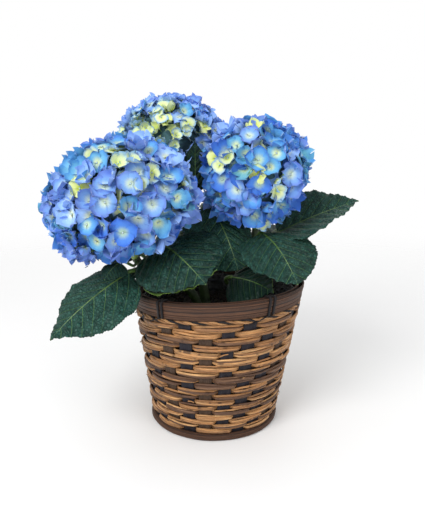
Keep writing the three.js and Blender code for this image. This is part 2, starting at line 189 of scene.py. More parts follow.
# Where a head is less full, or fuller if below nought: direction, how wide, how deep.
HOLLOWS = {
    "left": [((-0.05, -0.4, -0.9), 0.5, 0.014), ((0.8, -0.1, -0.5), 0.34, 0.014),
             ((-0.55, -0.35, -0.76), 0.25, -0.006), ((0.97, 0.1, -0.05), 0.22, -0.006)],
    "right": [((0.8, 0, -0.46), 0.55, 0.027), ((-0.95, -0.2, 0.05), 0.35, 0.009),
              ((-0.15, -0.4, -0.9), 0.35, -0.009)],
}

# stem, how far up it, base, tip, width, face, arch, fold
LEAVES = {
    "left_long": ("left", 0.85, (-84, -52, 174), (-153, -95, 120), 83, (-0.3, -0.6, 0.72), 0.06, 0.1),
    "left_small": ("left", 0.97, (-90, -66, 187), (-101, -88, 176), 26, (-0.1, -0.6, 0.8), 0.1, 0.2),
    "front_broad": ("back", 0.66, (-54, -36, 201), (-8, -102, 176), 88, (-0.22, -0.5, 0.84), 0.09, 0.14),
    "front_low": ("left", 0.35, (-68, -50, 165), (2, -88, 186), 48, (0.0, -0.4, 0.92), -0.06, 0.06),
    "centre": ("back", 0.6, (-4, 6, 233), (24, -42, 174), 60, (0.2, -0.8, 0.6), 0.1, 0.14),
    "centre_small": ("back", 0.8, (-20, 12, 246), (-20, 18, 299), 32, (0.1, -0.98, 0.1), 0.06, 0.08),
    "right_round": ("right", 0.8, (49, -30, 209), (76, -94, 174), 75, (0.1, -0.7, 0.7), 0.11, 0.1),
    "right_long": ("right", 0.9, (68, 6, 203), (150, -4, 239), 66, (-0.2, -0.4, 0.88), 0.03, -0.16),
    "right_low": ("right", 0.28, (18, -40, 166), (58, -61, 156), 60, (0.05, -0.55, 0.83), 0.1, 0.1),
    "right_back": ("right", 0.6, (62, 32, 196), (110, 84, 192), 70, (0.15, 0.1, 0.98), 0.14, 0.12),
    "right_rear": ("right", 0.42, (44, 44, 176), (84, 112, 158), 66, (0.2, 0.3, 0.93), 0.16, 0.12),
    "back_right": ("back", 0.78, (0, 78, 224), (46, 142, 204), 76, (0.15, 0.3, 0.93), 0.14, 0.12),
    "back_long": ("back", 0.5, (-36, 84, 196), (-40, 160, 164), 76, (0.0, 0.4, 0.92), 0.16, 0.12),
    "back_left": ("back", 0.72, (-92, 60, 216), (-146, 92, 200), 70, (-0.2, 0.15, 0.96), 0.14, 0.12),
    "back_low": ("back", 0.28, (8, 60, 160), (16, 124, 148), 60, (0.1, 0.3, 0.95), 0.14, 0.12),
    "left_low": ("left", 0.3, (-58, 18, 160), (-110, 16, 150), 56, (-0.25, 0.1, 0.95), 0.14, 0.12),
    "right_side": ("right", 0.5, (64, 0, 178), (103, 6, 165), 46, (0.25, 0.1, 0.95), 0.14, 0.12),
    "left_rear": ("left", 0.5, (-78, 8, 178), (-134, 48, 176), 68, (-0.2, 0.05, 0.97), 0.12, 0.12),
}
# How light each leaf is, which for the listed leaves is partly painted light and shade, and how yellow the
# painted light on its lit margin is on one side.
LEAF_SHADE = {"left_long": 0.72, "front_broad": 0.4, "right_long": 0.74, "right_round": 0.56, "centre": 0.85,
              "right_low": -0.1}
LEAF_PAINTED_LIT_MARGIN = {"front_low": 0.8, "right_low": -0.75}
# How round a blade's outline is at its base and tip (1 is the plain one), and how full each side is.
LEAF_BLUNT = {"centre": (0.25, 0.42), "right_round": (0.55, 0.55), "front_broad": (0.4, 0.8),
              "left_long": (0.9, 0.9), "front_low": (0.8, 0.45), "right_long": (0.45, 1.0)}
LEAF_SIDES = {"right_round": (0.93, 1.08), "right_long": (1.5, 1.0), "front_low": (0.82, 1.0),
              "left_low": (1.16, 1.16), "front_broad": (1.0, 1.08), "centre": (1.3, 1.06),
              "left_long": (0.89, 1.0), "right_low": (1.0, 1.2)}

# Tones of the sepals: heart, middle and edge.
SEPAL_TONES = [
    ((200, 224, 186), (96, 166, 222), (66, 124, 208)),
    ((204, 222, 198), (122, 168, 226), (104, 134, 212)),
    ((222, 236, 182), (112, 184, 222), (76, 146, 212)),
    ((226, 236, 200), (158, 196, 246), (134, 172, 242)),
    ((218, 234, 160), (130, 198, 204), (88, 160, 202)),
    ((222, 234, 128), (228, 238, 182), (136, 182, 226)),
    ((196, 214, 76), (230, 238, 152), (222, 236, 178)),
    # The last tone is a painted shade tone, dealt most often low on the heads.
    ((170, 200, 176), (72, 130, 216), (58, 110, 208)),
]
BEAD_TONE = len(SEPAL_TONES)
TONE_BANDS = BEAD_TONE + 1
# How often each tone is dealt on each head, and how that changes downwards and upwards: painted shade below
# and painted light on the crown.
TONE_WEIGHTS = {
    "left": (4, 6, 5, 4, 1.5, 1, 0.3, 2),
    "back": (1, 4, 3, 16, 0.5, 2, 1, 0.2),
    "right": (6, 6, 4, 2, 1.5, 1, 0.4, 3),
}
TOWARDS_FOOT = (1.6, 1.5, 0.8, 0.5, 0.4, 0.8, 0.8, 2.0)
TOWARDS_CROWN = (0.8, 1.0, 1.3, 2.0, 0.9, 0.7, 0.6, 0.4)
# The inner layer is dealt the teal, cream, yellow-green and painted shade tones more often.
INNER_TONES = (0.5, 0.5, 0.5, 1, 2, 3, 3, 2)
# Where young cream florets gather on each head: direction, how wide, how many more.
CREAM_SPOTS = {
    "left": [((0.2, -0.5, 0.84), 0.3, 16), ((0.5, -0.72, 0.45), 0.24, 8)],
    "back": [((-0.6, -0.75, 0.25), 0.3, 60), ((-0.1, -0.94, 0.28), 0.32, 70), ((0.45, -0.85, 0.32), 0.3, 50)],
    "right": [((-0.74, -0.63, 0.2), 0.34, 14), ((-0.23, -0.6, 0.76), 0.3, 14), ((0.1, -0.98, 0.0), 0.24, 9)],
}

MM = 0.001
# A full turn as the growing rules round it, and a way that no limb runs along.
FULL_TURN = 6.28
ASKEW = (0.31, 0.52, 0.8)

# ------------ small helpers


def seeded(seed):
    """The solid model's own small random generator, so both grow alike."""
    state = seed & 0xFFFFFFFF

    def draw():
        nonlocal state
        state = (state + 0x6D2B79F5) & 0xFFFFFFFF
        t = state
        t = ((t ^ (t >> 15)) * (t | 1)) & 0xFFFFFFFF
        t ^= (t + (((t ^ (t >> 7)) * (t | 61)) & 0xFFFFFFFF)) & 0xFFFFFFFF
        return ((t ^ (t >> 14)) & 0xFFFFFFFF) / 4294967296
    return draw


def mix(low, high, share):
    return low + (high - low) * share


def ease(value, low=0.0, high=1.0):
    share = np.clip((value - low) / (high - low), 0, 1)
    return share * share * (3 - 2 * share)


def unit(vector):
    vector = np.asarray(vector, float)
    return vector / np.linalg.norm(vector, axis=-1, keepdims=True)


def across(tangent, reference):
    """Two directions square to each tangent."""
    side = unit(np.cross(tangent, reference))
    return side, unit(np.cross(side, tangent))


def ring(count, closed=False):
    """Even angles round a circle; `closed` comes back to the first one."""
    return np.arange(count + closed) * 2 * math.pi / count


class Curve:
    """A cubic curve walked by its own length."""

    def __init__(self, *corners):
        self.corners = [np.asarray(corner, float) for corner in corners]
        self.shares = np.linspace(0, 1, 201)
        steps = np.linalg.norm(np.diff(self.at(self.shares), axis=0), axis=1)
        self.walked = np.concatenate([[0], np.cumsum(steps)])

    def at(self, t):
        a, b, c, d = self.corners
        t = np.asarray(t, float)[..., None]
        return (1 - t) ** 3 * a + 3 * (1 - t) ** 2 * t * b + 3 * (1 - t) * t ** 2 * c + t ** 3 * d

    def walk(self, share):
        t = np.interp(np.asarray(share) * self.walked[-1], self.walked, self.shares)
        a, b, c, d = self.corners
        s = np.asarray(t, float)[..., None]
        slope = (1 - s) ** 2 * (b - a) + 2 * (1 - s) * s * (c - b) + s ** 2 * (d - c)
        return self.at(t), unit(slope)


class Skin:
    """Gathers sheets of points and makes one mesh of them."""

    def __init__(self):
        self.points = []
        self.faces = []
        self.places = []
        self.kinds = []
        self.count = 0

    def sheet(self, grid, places, around=False, caps=False, kind=0):
        """A grid of points (rows, columns, 3); `around` closes each row on itself."""
        rows, columns = grid.shape[:2]
        row, column = np.meshgrid(np.arange(rows - 1), np.arange(columns if around else columns - 1),
                                  indexing="ij")
        row, column = row.ravel(), column.ravel()
        after = (column + 1) % columns
        corners = [row * columns + column, row * columns + after,
                   (row + 1) * columns + after, (row + 1) * columns + column]
        spots = [places[row, column], places[row, column + 1],
                 places[row + 1, column + 1], places[row + 1, column]]
        self.points.append(grid.reshape(-1, 3))
        self.faces.append(np.stack(corners, 1) + self.count)
        self.places.append(np.stack(spots, 1))
        self.kinds.append(np.full(len(row), kind))
        start = self.count
        self.count += rows * columns
        if caps:
            self._cap(grid, places, 0, start, kind, flip=True)
            self._cap(grid, places, rows - 1, start + (rows - 1) * columns, kind, flip=False)

    def _cap(self, grid, places, row, start, kind, flip):
        columns = grid.shape[1]
        first = np.arange(columns) + start
        second = (np.arange(columns) + 1) % columns + start
        middle = np.full(columns, self.count)
        order = [second, first, middle] if flip else [first, second, middle]
        self.points.append(grid[row].mean(0, keepdims=True))
        self.faces.append(np.stack(order, 1))
        spot = places[row, :1]
        self.places.append(np.broadcast_to(spot, (columns, 3, 2)))
        self.kinds.append(np.full(columns, kind))
        self.count += 1

    def piece(self, name, *materials):
        mesh = bpy.data.meshes.new(name)
        points = np.concatenate(self.points)
        mesh.vertices.add(len(points))
        mesh.vertices.foreach_set("co", points.ravel())
        sizes = np.concatenate([np.full(len(face), face.shape[1]) for face in self.faces])
        corners = np.concatenate([face.ravel() for face in self.faces])
        mesh.loops.add(len(corners))
        mesh.loops.foreach_set("vertex_index", corners)
        mesh.polygons.add(len(sizes))
        mesh.polygons.foreach_set("loop_start", np.concatenate([[0], np.cumsum(sizes)[:-1]]))
        mesh.polygons.foreach_set("material_index", np.concatenate(self.kinds))
        mesh.polygons.foreach_set("use_smooth", np.ones(len(sizes), bool))
        layer = mesh.uv_layers.new(name="OFBake")
        layer.uv.foreach_set("vector", np.concatenate([spot.reshape(-1, 2) for spot in self.places]).ravel())
        mesh.update(calc_edges=True)
        mesh.validate()
        for material in materials:
            mesh.materials.append(material)
        return add_object(name, mesh)


def add_object(name, data):
    made = bpy.data.objects.new(name, data)
    bpy.context.collection.objects.link(made)
    return made


def finish_skin(skin, name, materials, slot, node):
    """Makes a skin's piece, turns its faces outward and fixes it to the plant."""
    piece = skin.piece(name, *materials)
    face_out(piece)
    finish_piece(piece, slot, node)


def place_grid(rows, columns, along=(0, 1), over=(0, 1)):
    """Flat places for a sheet's corners, rows running along U and columns over V."""
    u, v = np.meshgrid(np.linspace(*along, rows), np.linspace(*over, columns), indexing="ij")
    return np.stack([u, v], -1)


def tube(skin, centres, tangents, radii, sides, reference=(0, 1, 0), along=(0, 1), over=(0, 1)):
    """A round limb along its centres."""
    side, up = across(tangents, np.asarray(reference, float))
    angle = ring(sides)
    radii = np.asarray(radii, float)
    radii = radii[:, None] if radii.ndim == 1 else radii
    outward = side[:, None] * np.sin(angle)[None, :, None] + up[:, None] * np.cos(angle)[None, :, None]
    grid = centres[:, None] + outward * radii[..., None]
    skin.sheet(grid, place_grid(len(centres), sides + 1, along, over), around=True, caps=True)


def limb(skin, path, radii, sides, *rest):
    """A round limb along a curve, in as many even steps as it has radii."""
    tube(skin, *path.walk(np.linspace(0, 1, len(radii))), radii, sides, *rest)


def deselect_all():
    for other in list(bpy.context.selected_objects):
        other.select_set(False)


def start_piece(name, add, **sizes):
    """Adds a primitive with nothing else selected."""
    deselect_all()
    add(**sizes)
    piece = bpy.context.object
    piece.name = name
    piece.data.name = name
    return piece


def select_only(piece):
    deselect_all()
    piece.select_set(True)
    bpy.context.view_layer.objects.active = piece


def read(items, key, kind=int, width=1):
    """One value, or a row of them, from each of a mesh's parts."""
    values = np.empty(len(items) * width, kind)
    items.foreach_get(key, values)
    return values.reshape(-1, width) if width > 1 else values


def points_of(piece):
    return read(piece.data.vertices, "co", float, 3)


def set_points(piece, points):
    piece.data.vertices.foreach_set("co", np.ascontiguousarray(points).ravel())
    piece.data.update()


def face_out(piece):
    mesh = bmesh.new()
    mesh.from_mesh(piece.data)
    bmesh.ops.recalc_face_normals(mesh, faces=mesh.faces)
    mesh.to_mesh(piece.data)
    mesh.free()


def finish_piece(piece, slot, *nodes):
    """Smooths a piece, fixes it to the plant and lets it stand for its solids."""
    piece.data.polygons.foreach_set("use_smooth", np.ones(len(piece.data.polygons), bool))
    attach(piece, "root")
    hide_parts(*nodes)


# ------------ colours and shaders


def tint(red, green, blue):
    """A colour from its usual 0 to 255 values."""
    def linear(value):
        value /= 255
        return value / 12.92 if value <= 0.04045 else ((value + 0.055) / 1.055) ** 2.4
    return (linear(red), linear(green), linear(blue), 1)


class Graph:
    """Short words for adding and joining shader nodes."""

    def __init__(self, tree):
        self.tree = tree

    def feed(self, socket, value):
        if isinstance(value, bpy.types.NodeSocket):
            self.tree.links.new(value, socket)
        else:
            socket.default_value = value

    def node(self, kind, feeds=(), **settings):
        made = self.tree.nodes.new(kind)
        for key, value in settings.items():
            setattr(made, key, value)
        for socket, value in dict(feeds).items():
            self.feed(made.inputs[socket], value)
        return made

    def math(self, operation, first, second=0.0, clamp=False):
        made = self.node("ShaderNodeMath", {0: first, 1: second}, operation=operation, use_clamp=clamp)
        return made.outputs[0]

    def times(self, first, second):
        return self.math("MULTIPLY", first, second)

    def parts(self, vector):
        return self.node("ShaderNodeSeparateXYZ", {0: vector}).outputs

    def here(self):
        return self.node("ShaderNodeTexCoord").outputs["Object"]

    def laid(self, name):
        return self.node("ShaderNodeUVMap", uv_map=name).outputs[0]

    def stored(self, name):
        return self.node("ShaderNodeAttribute", attribute_name=name).outputs["Fac"]

    def chance(self, seed):
        return self.node("ShaderNodeTexWhiteNoise", {"W": seed}, noise_dimensions="1D").outputs[0]

    def span(self, value, low, high, to_low=0.0, to_high=1.0, kind="SMOOTHSTEP"):
        made = self.node("ShaderNodeMapRange", {0: value, 1: low, 2: high, 3: to_low, 4: to_high},
                         interpolation_type=kind)
        return made.outputs[0]

    def blend(self, share, first, second, part=1.0):
        made = self.node("ShaderNodeMix", data_type="RGBA")
        self.feed(made.inputs[0], share if part == 1 else self.times(share, part))
        self.feed(made.inputs[6], first)
        self.feed(made.inputs[7], second)
        return made.outputs[2]

    def stretch(self, vector, scale):
        return self.node("ShaderNodeMapping", {"Vector": vector, "Scale": scale}).outputs[0]

    def noise(self, vector, scale, detail=3.0, rough=0.55):
        made = self.node("ShaderNodeTexNoise", {"Vector": vector, "Scale": scale, "Detail": detail,
                                                "Roughness": rough})
        return made.outputs[0]

    def ramp(self, value, stops, kind="LINEAR"):
        made = self.node("ShaderNodeValToRGB", {0: value})
        ramp = made.color_ramp
        ramp.interpolation = kind
        while len(ramp.elements) < len(stops):
            ramp.elements.new(0.5)
        for element, (place, colour) in zip(ramp.elements, stops):
            element.position = place
            element.color = colour
        return made.outputs[0]

    def bump(self, height, strength, distance):
        feeds = {"Height": height, "Strength": strength, "Distance": distance}
        return self.node("ShaderNodeBump", feeds).outputs[0]

    def group(self, tree, place):
        return self.node("ShaderNodeGroup", {"Place": place}, node_tree=tree).outputs


def effect(name, labels, build):
    """A shared shader effect: it takes a place and gives a number under each label."""
    tree = bpy.data.node_groups.new(name, "ShaderNodeTree")
    tree.interface.new_socket("Place", in_out="INPUT", socket_type="NodeSocketVector")
    for label in labels:
        tree.interface.new_socket(label, in_out="OUTPUT", socket_type="NodeSocketFloat")
    graph = Graph(tree)
    place = tree.nodes.new("NodeGroupInput").outputs["Place"]
    outside = tree.nodes.new("NodeGroupOutput").inputs
    for label, value in build(graph, place).items():
        graph.feed(outside[label], value)
    return tree


def finish_of(name, rough, build, **fixed):
    """A material whose changing values come from `build` and whose fixed ones sit on the shader."""
    material = bpy.data.materials.new(name)
    material.use_nodes = True
    graph = Graph(material.node_tree)
    shader = material.node_tree.nodes["Principled BSDF"]
    shader.inputs["Roughness"].default_value = rough
    for label, value in fixed.items():
        shader.inputs[label.replace("_", " ")].default_value = value
    for label, value in build(graph).items():
        graph.feed(shader.inputs[label], value)
    return material


def grain_effect():
    """Fibres and darker streaks that run along U of the place they are given."""
    def build(graph, place):
        streak = graph.noise(graph.stretch(place, (0.16, 1.6, 1.0)), 5.0, 4.0, 0.62)
        fibre = graph.noise(graph.stretch(place, (0.35, 7.0, 1.0)), 9.0, 3.0, 0.6)
        knot = graph.noise(graph.stretch(place, (0.9, 0.5, 1.0)), 1.7, 2.0, 0.5)
        height = graph.math("ADD", graph.times(streak, 0.5), graph.times(fibre, 0.5))
        return {"Streak": graph.span(streak, 0.34, 0.66), "Fibre": graph.span(fibre, 0.3, 0.7),
                "Knot": graph.span(knot, 0.58, 0.72), "Height": height}
    return effect("Wood grain", ("Streak", "Fibre", "Knot", "Height"), build)


def reed_finish(name, grain, tones):
    """Vine strands, each with its own tone, darker streaks and pale fibres."""
    def build(graph):
        place = graph.laid("OFBake")
        parts = graph.parts(place)
        wood = graph.group(grain, graph.stretch(place, (31.0, 28.0, 1.0)))
        strand = graph.math("FLOOR", graph.times(parts[1], float(STRAND_BANDS)))
        own = graph.chance(strand)
        patch = graph.noise(graph.stretch(place, (9.0, 40.0, 1.0)), 1.6, 2.0)
        tone = graph.math("ADD", graph.times(own, 0.4), graph.times(patch, 0.7))
        body = graph.ramp(tone, [(at, tint(*colour)) for at, colour in zip((0.2, 0.42, 0.6, 0.8), tones)])
        dark = graph.blend(wood["Streak"], body, tint(60, 34, 22), 0.84)
        pale = graph.blend(wood["Fibre"], dark, tint(*tones[3]), 0.36)
        colour = graph.blend(wood["Knot"], pale, tint(50, 30, 22), 0.8)
        return {"Base Color": colour, "Normal": graph.bump(wood["Height"], 0.8, 0.0006),
                "Roughness": graph.span(wood["Streak"], 0, 1, 0.42, 0.62, "LINEAR")}
    return finish_of(name, 0.5, build, Specular_IOR_Level=0.4)


def split_wood_finish(name, grain, stretch, colours, rough, strips=0):
    """Split wood with its grain along the hoop or the stake, laid in narrow strips."""
    def build(graph):
        place = graph.laid("OFBake")
        wood = graph.group(grain, graph.stretch(place, stretch))
        dark, middle, light = (tint(*colour) for colour in colours)
        body = graph.blend(wood["Streak"], dark, middle)
        colour = graph.blend(wood["Fibre"], body, light, 0.45)
        height = wood["Height"]
        if strips:
            over = graph.parts(place)[1]
            count = graph.times(over, float(strips))
            own = graph.chance(graph.math("FLOOR", count))
            colour = graph.blend(own, colour, dark, 0.75)
            beat = graph.math("FRACT", count)
            line = graph.span(graph.math("ABSOLUTE", graph.math("SUBTRACT", beat, 0.5)), 0.34, 0.48)
            colour = graph.blend(line, colour, tint(20, 13, 13), 0.9)
            height = graph.math("SUBTRACT", height, graph.times(line, 0.5))
        return {"Base Color": colour, "Normal": graph.bump(height, 0.8, 0.0008),
                "Roughness": graph.span(wood["Fibre"], 0, 1, rough, rough + 0.2, "LINEAR")}
    return finish_of(name, rough, build, Specular_IOR_Level=0.35)


def venation_effect():
    """Midrib, side veins that bend towards the tip, and the net between them, on a blade's own map."""
    def build(graph, place):
        parts = graph.parts(place)
        along = parts[0]
        made = graph.node("ShaderNodeMath", {0: parts[1], 1: 2.0, 2: -1.0}, operation="MULTIPLY_ADD")
        sideways = graph.math("ABSOLUTE", made.outputs[0])
        bent = graph.times(graph.math("POWER", sideways, VEIN_BEND), VEIN_SLANT)
        row = graph.times(graph.math("SUBTRACT", along, bent), VEIN_PAIRS)
        beat = graph.math("ABSOLUTE", graph.math("SUBTRACT", graph.math("FRACT", row), 0.5))
        lateral = graph.times(graph.span(beat, 0.455, 0.492), graph.span(sideways, 0.1, 0.95, 1.0, 0.2))
        width = graph.span(along, 0.0, 1.0, 0.03, 0.006, "LINEAR")
        rib = graph.math("SUBTRACT", 1.0, graph.math("DIVIDE", sideways, width), clamp=True)
        rib = graph.times(graph.span(rib, 0.0, 0.6), graph.span(along, 0.45, 1.0, 1.0, 0.35))
        feeds = {"Vector": graph.stretch(place, (1.0, 0.9, 1.0)), "Scale": 30.0}
        cells = graph.node("ShaderNodeTexVoronoi", feeds, feature="DISTANCE_TO_EDGE").outputs[0]
        net = graph.span(cells, 0.0, 0.22, 1.0, 0.0)
        return {"Lateral": lateral, "Rib": rib, "Net": net}
    return effect("Leaf venation", ("Lateral", "Rib", "Net"), build)


def leaf_finish(name, venation, dark, light, vein, rough):
    def build(graph):
        place = graph.laid("Blade")
        shade = graph.stored("shade")
        sun = graph.stored("sun")
        lines = graph.group(venation, place)
        mottle = graph.noise(place, 13.0, 5.0, 0.7)
        # The shade attribute gives each leaf its tone; for the listed leaves it also holds painted light and
        # shade.
        tone = graph.math("ADD", graph.times(mottle, 1.6), graph.times(shade, 0.55))
        body = graph.blend(graph.span(tone, 0.75, 1.5), dark, light)
        body = graph.blend(lines["Net"], body, dark, 0.55)
        faint = graph.times(lines["Lateral"], graph.span(shade, 0.0, 1.0, 0.4, 0.75, "LINEAR"))
        body = graph.blend(faint, body, vein)
        rib = graph.blend(shade, tint(112, 152, 70), tint(184, 208, 146))
        body = graph.blend(lines["Rib"], body, rib, 0.78)
        # Painted light: the yellow-green lit margin.
        colour = graph.blend(sun, body, tint(128, 164, 64))
        raised = graph.math("SUBTRACT", 1.0, graph.times(lines["Net"], 0.6))
        height = graph.math("SUBTRACT", raised, graph.times(lines["Lateral"], 0.9))
        return {"Base Color": colour, "Normal": graph.bump(height, 0.9, 0.0012),
                "Roughness": graph.span(mottle, 0.3, 0.7, rough - 0.05, rough + 0.1, "LINEAR")}
    return finish_of(name, rough, build, Specular_IOR_Level=0.28)


def sepal_finish():
    """Sepals whose colour runs from a pale heart to a deeper edge, in bands of tones."""
    def build(graph):
        place = graph.laid("OFBake")
        parts = graph.parts(place)
        bead = ((206, 214, 140), (176, 196, 190), (176, 196, 190))
        tones = [*SEPAL_TONES, bead]
        layers = []
        for layer in range(3):
            stops = [(i / TONE_BANDS, tint(*tone[layer])) for i, tone in enumerate(tones)]
            layers.append(graph.ramp(parts[1], stops, "CONSTANT"))
        across_it = graph.math("FRACT", graph.times(parts[1], float(TONE_BANDS)))
        vein = graph.math("SINE", graph.times(across_it, 58.0))
        vein = graph.times(graph.span(vein, 0.3, 1.0), graph.span(parts[0], 0.95, 0.3, 0.0, 1.0))
        colour = graph.blend(graph.span(parts[0], 0.1, 0.54), layers[0], layers[1])
        colour = graph.blend(graph.span(parts[0], 0.5, 0.95), colour, layers[2])
        colour = graph.blend(vein, colour, layers[2], 0.16)
        rim = graph.span(parts[0], 0.93, 0.99)
        colour = graph.blend(rim, colour, tint(206, 228, 246), 0.45)
        return {"Base Color": colour, "Normal": graph.bump(vein, 0.15, 0.0003)}
    return finish_of("Sepals", 0.62, build, Specular_IOR_Level=0.3, Sheen_Weight=0.15)


def mottled_finish(name, scale, low, high, rough, bump, speck=None, detail=4.0, grain=0.55,
                   edges=(0.35, 0.65), **fixed):
    """Two mixed tones, and fine specks on them; `speck` is scale, threshold, share and colour."""
    def build(graph):
        place = graph.here()
        patch = graph.noise(place, scale, detail, grain)
        colour = graph.blend(graph.span(patch, *edges), tint(*low), tint(*high))
        if speck:
            size, threshold, share, tone = speck
            specks = graph.span(graph.noise(place, size, 2.0), threshold, 0.7)
            colour = graph.blend(specks, colour, tint(*tone), share)
        return {"Base Color": colour, "Normal": graph.bump(patch, *bump)}
    return finish_of(name, rough, build, **fixed)


def floor_finish():
    def build(graph):
        place = graph.here()
        haze = graph.noise(place, 3.0, 2.0)
        reach = graph.node("ShaderNodeVectorMath", {0: place}, operation="LENGTH").outputs["Value"]
        return {"Base Color": graph.blend(haze, tint(246, 246, 246), tint(249, 249, 249)),
                "Alpha": graph.span(reach, 0.42, 1.3, 1.0, 0.0)}
    return finish_of("Pale floor", 0.9, build, Specular_IOR_Level=0.1)


# ------------ basket


def wall_radius(z):
    return mix(FOOT_RADIUS, RIM_RADIUS, z / BASKET_HEIGHT)


def lean(points):
    """The basket leans a little, and its rim isn't quite level."""
    moved = points.copy()
    up = moved[..., 2] / BASKET_HEIGHT
    moved[..., 2] += RIM_SKEW * (points[..., 0] - points[..., 1]) * up
    moved[..., 0] += BASKET_LEAN * up
    return moved


def turned_at(radius, angle, z):
    """Points at an angle round the basket, measured from its front."""
    return np.stack(np.broadcast_arrays(radius * np.sin(angle), -radius * np.cos(angle), z), -1)


def row_boundary(row):
    share = row / ROWS
    bent = share + (ROW_GROWTH / 2) * share * (share - 1)
    return mix(WEAVE_BOTTOM, WEAVE_TOP, bent)


def from_hidden_stake(angle, row):
    """How many stakes away the nearest one is that this row passes behind: 0 to 1.5."""
    stake = (angle - FIRST_STAKE) / (2 * math.pi / STAKES)
    place = np.mod(stake - row, 3)
    return np.minimum(place, 3 - place)


def strand_wave(random, angle, turns=3):
    """A slow wander that closes on itself."""
    wave = np.zeros_like(angle)
    for turn in range(1, turns + 1):
        wave += (random() - 0.5) * np.sin(turn * angle + FULL_TURN * random())
    return wave


def weave_strand(skin, row, strand, random, band, kind):
    angle = ring(STRAND_STEPS, closed=True)
    away = from_hidden_stake(angle, row)
    low, high = row_boundary(row), row_boundary(row + 1)
    tall = high - low
    out = ease(away, 0.3, 0.6)
    lane = strand / (STRANDS_A_ROW - 1) - 0.5
    way = 1 if (row + strand) % 2 else -1
    twist = 2 * math.pi * strand / STRANDS_A_ROW + way * (1 + row % 3) * angle
    spread = mix(0.74, 1.0, ease(away, 0.3, 1.1))
    offset = tall * spread * (0.74 * lane + 0.13 * np.cos(twist + strand_wave(random, angle)))
    offset += 0.0005 * strand_wave(random, angle, 6)
    depth = mix(UNDER_REACH, OVER_REACH, out) + 0.0006 * np.sin(twist) * out
    depth += 0.0008 * ease(away, 0.6, 1.5) + 0.0006 * (1 - 4 * lane * lane) * out
    from_rise = np.mod(angle + math.pi - RISE_ANGLE, 2 * math.pi) - math.pi
    lift = RISE * np.exp(-(from_rise / RISE_WIDE) ** 2)
    lift = lift * math.exp(-(((low + high) / 2 - RISE_HEIGHT) / RISE_TALL) ** 2)
    z = (low + high) / 2 + offset + lift
    thick = tall * STRAND_SHARE * mix(0.82, 1.14, random()) * (1 + 0.14 * strand_wave(random, angle, 9))
    turn = ring(STRAND_SIDES) + random() * FULL_TURN
    z_ring = z[:, None] + thick[:, None] * np.sin(turn)
    reach = wall_radius(z)[:, None] + depth[:, None] + 0.8 * thick[:, None] * np.cos(turn)
    grid = lean(turned_at(reach, angle[:, None], z_ring))
    over = (band + 0.06 / STRAND_BANDS, band + 0.94 / STRAND_BANDS)
    places = place_grid(STRAND_STEPS + 1, STRAND_SIDES + 1, over=over)
    skin.sheet(grid, places, around=True, kind=kind)


def loose_end(skin, angle, z, random):
    """A strand's cut end that stands out of the wall."""
    start = lean(turned_at(wall_radius(z) + 0.002, np.array(angle), z))
    bend = 0.10 * (1 if random() > 0.5 else -1)
    finish = lean(turned_at(wall_radius(z) + mix(0.004, 0.0062, random()), np.array(angle + bend),
                            z + 0.004 * (random() - 0.3)))
    middle = (start + finish) / 2 + 0.0007
    path = Curve(start, mix(start, middle, 0.7), mix(finish, middle, 0.7), finish)
    radii = STRAND_RADIUS * np.linspace(0.8, 0.35, 7)
    band = int(random() * (STRAND_BANDS - 2)) / STRAND_BANDS
    limb(skin, path, radii, 6, (0, 0.1, 1), (0, 0.02), (band + 0.002, band + 0.02))


def weave(golden, brown):
    """The strands, in a lower and an upper piece; one in five is brown, more in the middle rows."""
    halves = {"basket_strands_low": range(0, 10), "basket_strands_high": range(10, ROWS)}
    random = seeded(5)
    for name, rows in halves.items():
        skin = Skin()
        band = 0
        for row in rows:
            for strand in range(STRANDS_A_ROW):
                dark = random() < CHANCE_OF_BROWN[row in BROWN_ROWS]
                weave_strand(skin, row, strand, random, band / STRAND_BANDS, int(dark))
                band += 1
        for _ in range(LOOSE_ENDS):
            row = rows[int(random() * len(rows))]
            loose_end(skin, 2 * math.pi * random(), row_boundary(row + 0.5), random)
        finish_skin(skin, name, (golden, brown), "weave", "basket_weave")


def stakes(dark, brown):
    """Flat split stakes, seen where the strands pass behind them."""
    piece = start_piece("basket_stakes", bpy.ops.mesh.primitive_cube_add, size=1)
    bpy.ops.object.mode_set(mode="EDIT")
    bpy.ops.mesh.subdivide(number_cuts=11)
    bpy.ops.object.mode_set(mode="OBJECT")
    pattern = points_of(piece)
    faces = np.array([list(face.vertices) for face in piece.data.polygons])
    bpy.data.objects.remove(piece)
    skin = Skin()
    random = seeded(8)
    for stake in range(STAKES):
        angle = FIRST_STAKE + stake * 2 * math.pi / STAKES + 0.02 * (random() - 0.5)
        width = STAKE_WIDTH * mix(0.9, 1.1, random())
        up = mix(BASE_THICKNESS, RIM_BOTTOM - 0.0006, pattern[:, 2] + 0.5)
        bow = 0.0004 * np.sin(pattern[:, 0] * 9 + 6 * random())
        reach = wall_radius(up) + pattern[:, 1] * -STAKE_THICKNESS + bow
        around = angle + pattern[:, 0] * width / wall_radius(up)
        spots = np.stack([pattern[:, 2] + 0.5, (stake + (pattern[:, 0] + 0.5) * 0.9) / STAKES], 1)
        skin.points.append(lean(turned_at(reach, around, up)))
        skin.faces.append(faces + stake * len(pattern))
        skin.places.append(spots[faces])
        skin.kinds.append(np.full(len(faces), int(stake in BROWN_STAKES)))
    finish_skin(skin, "basket_stakes", (dark, brown), "stake", "basket_weave")


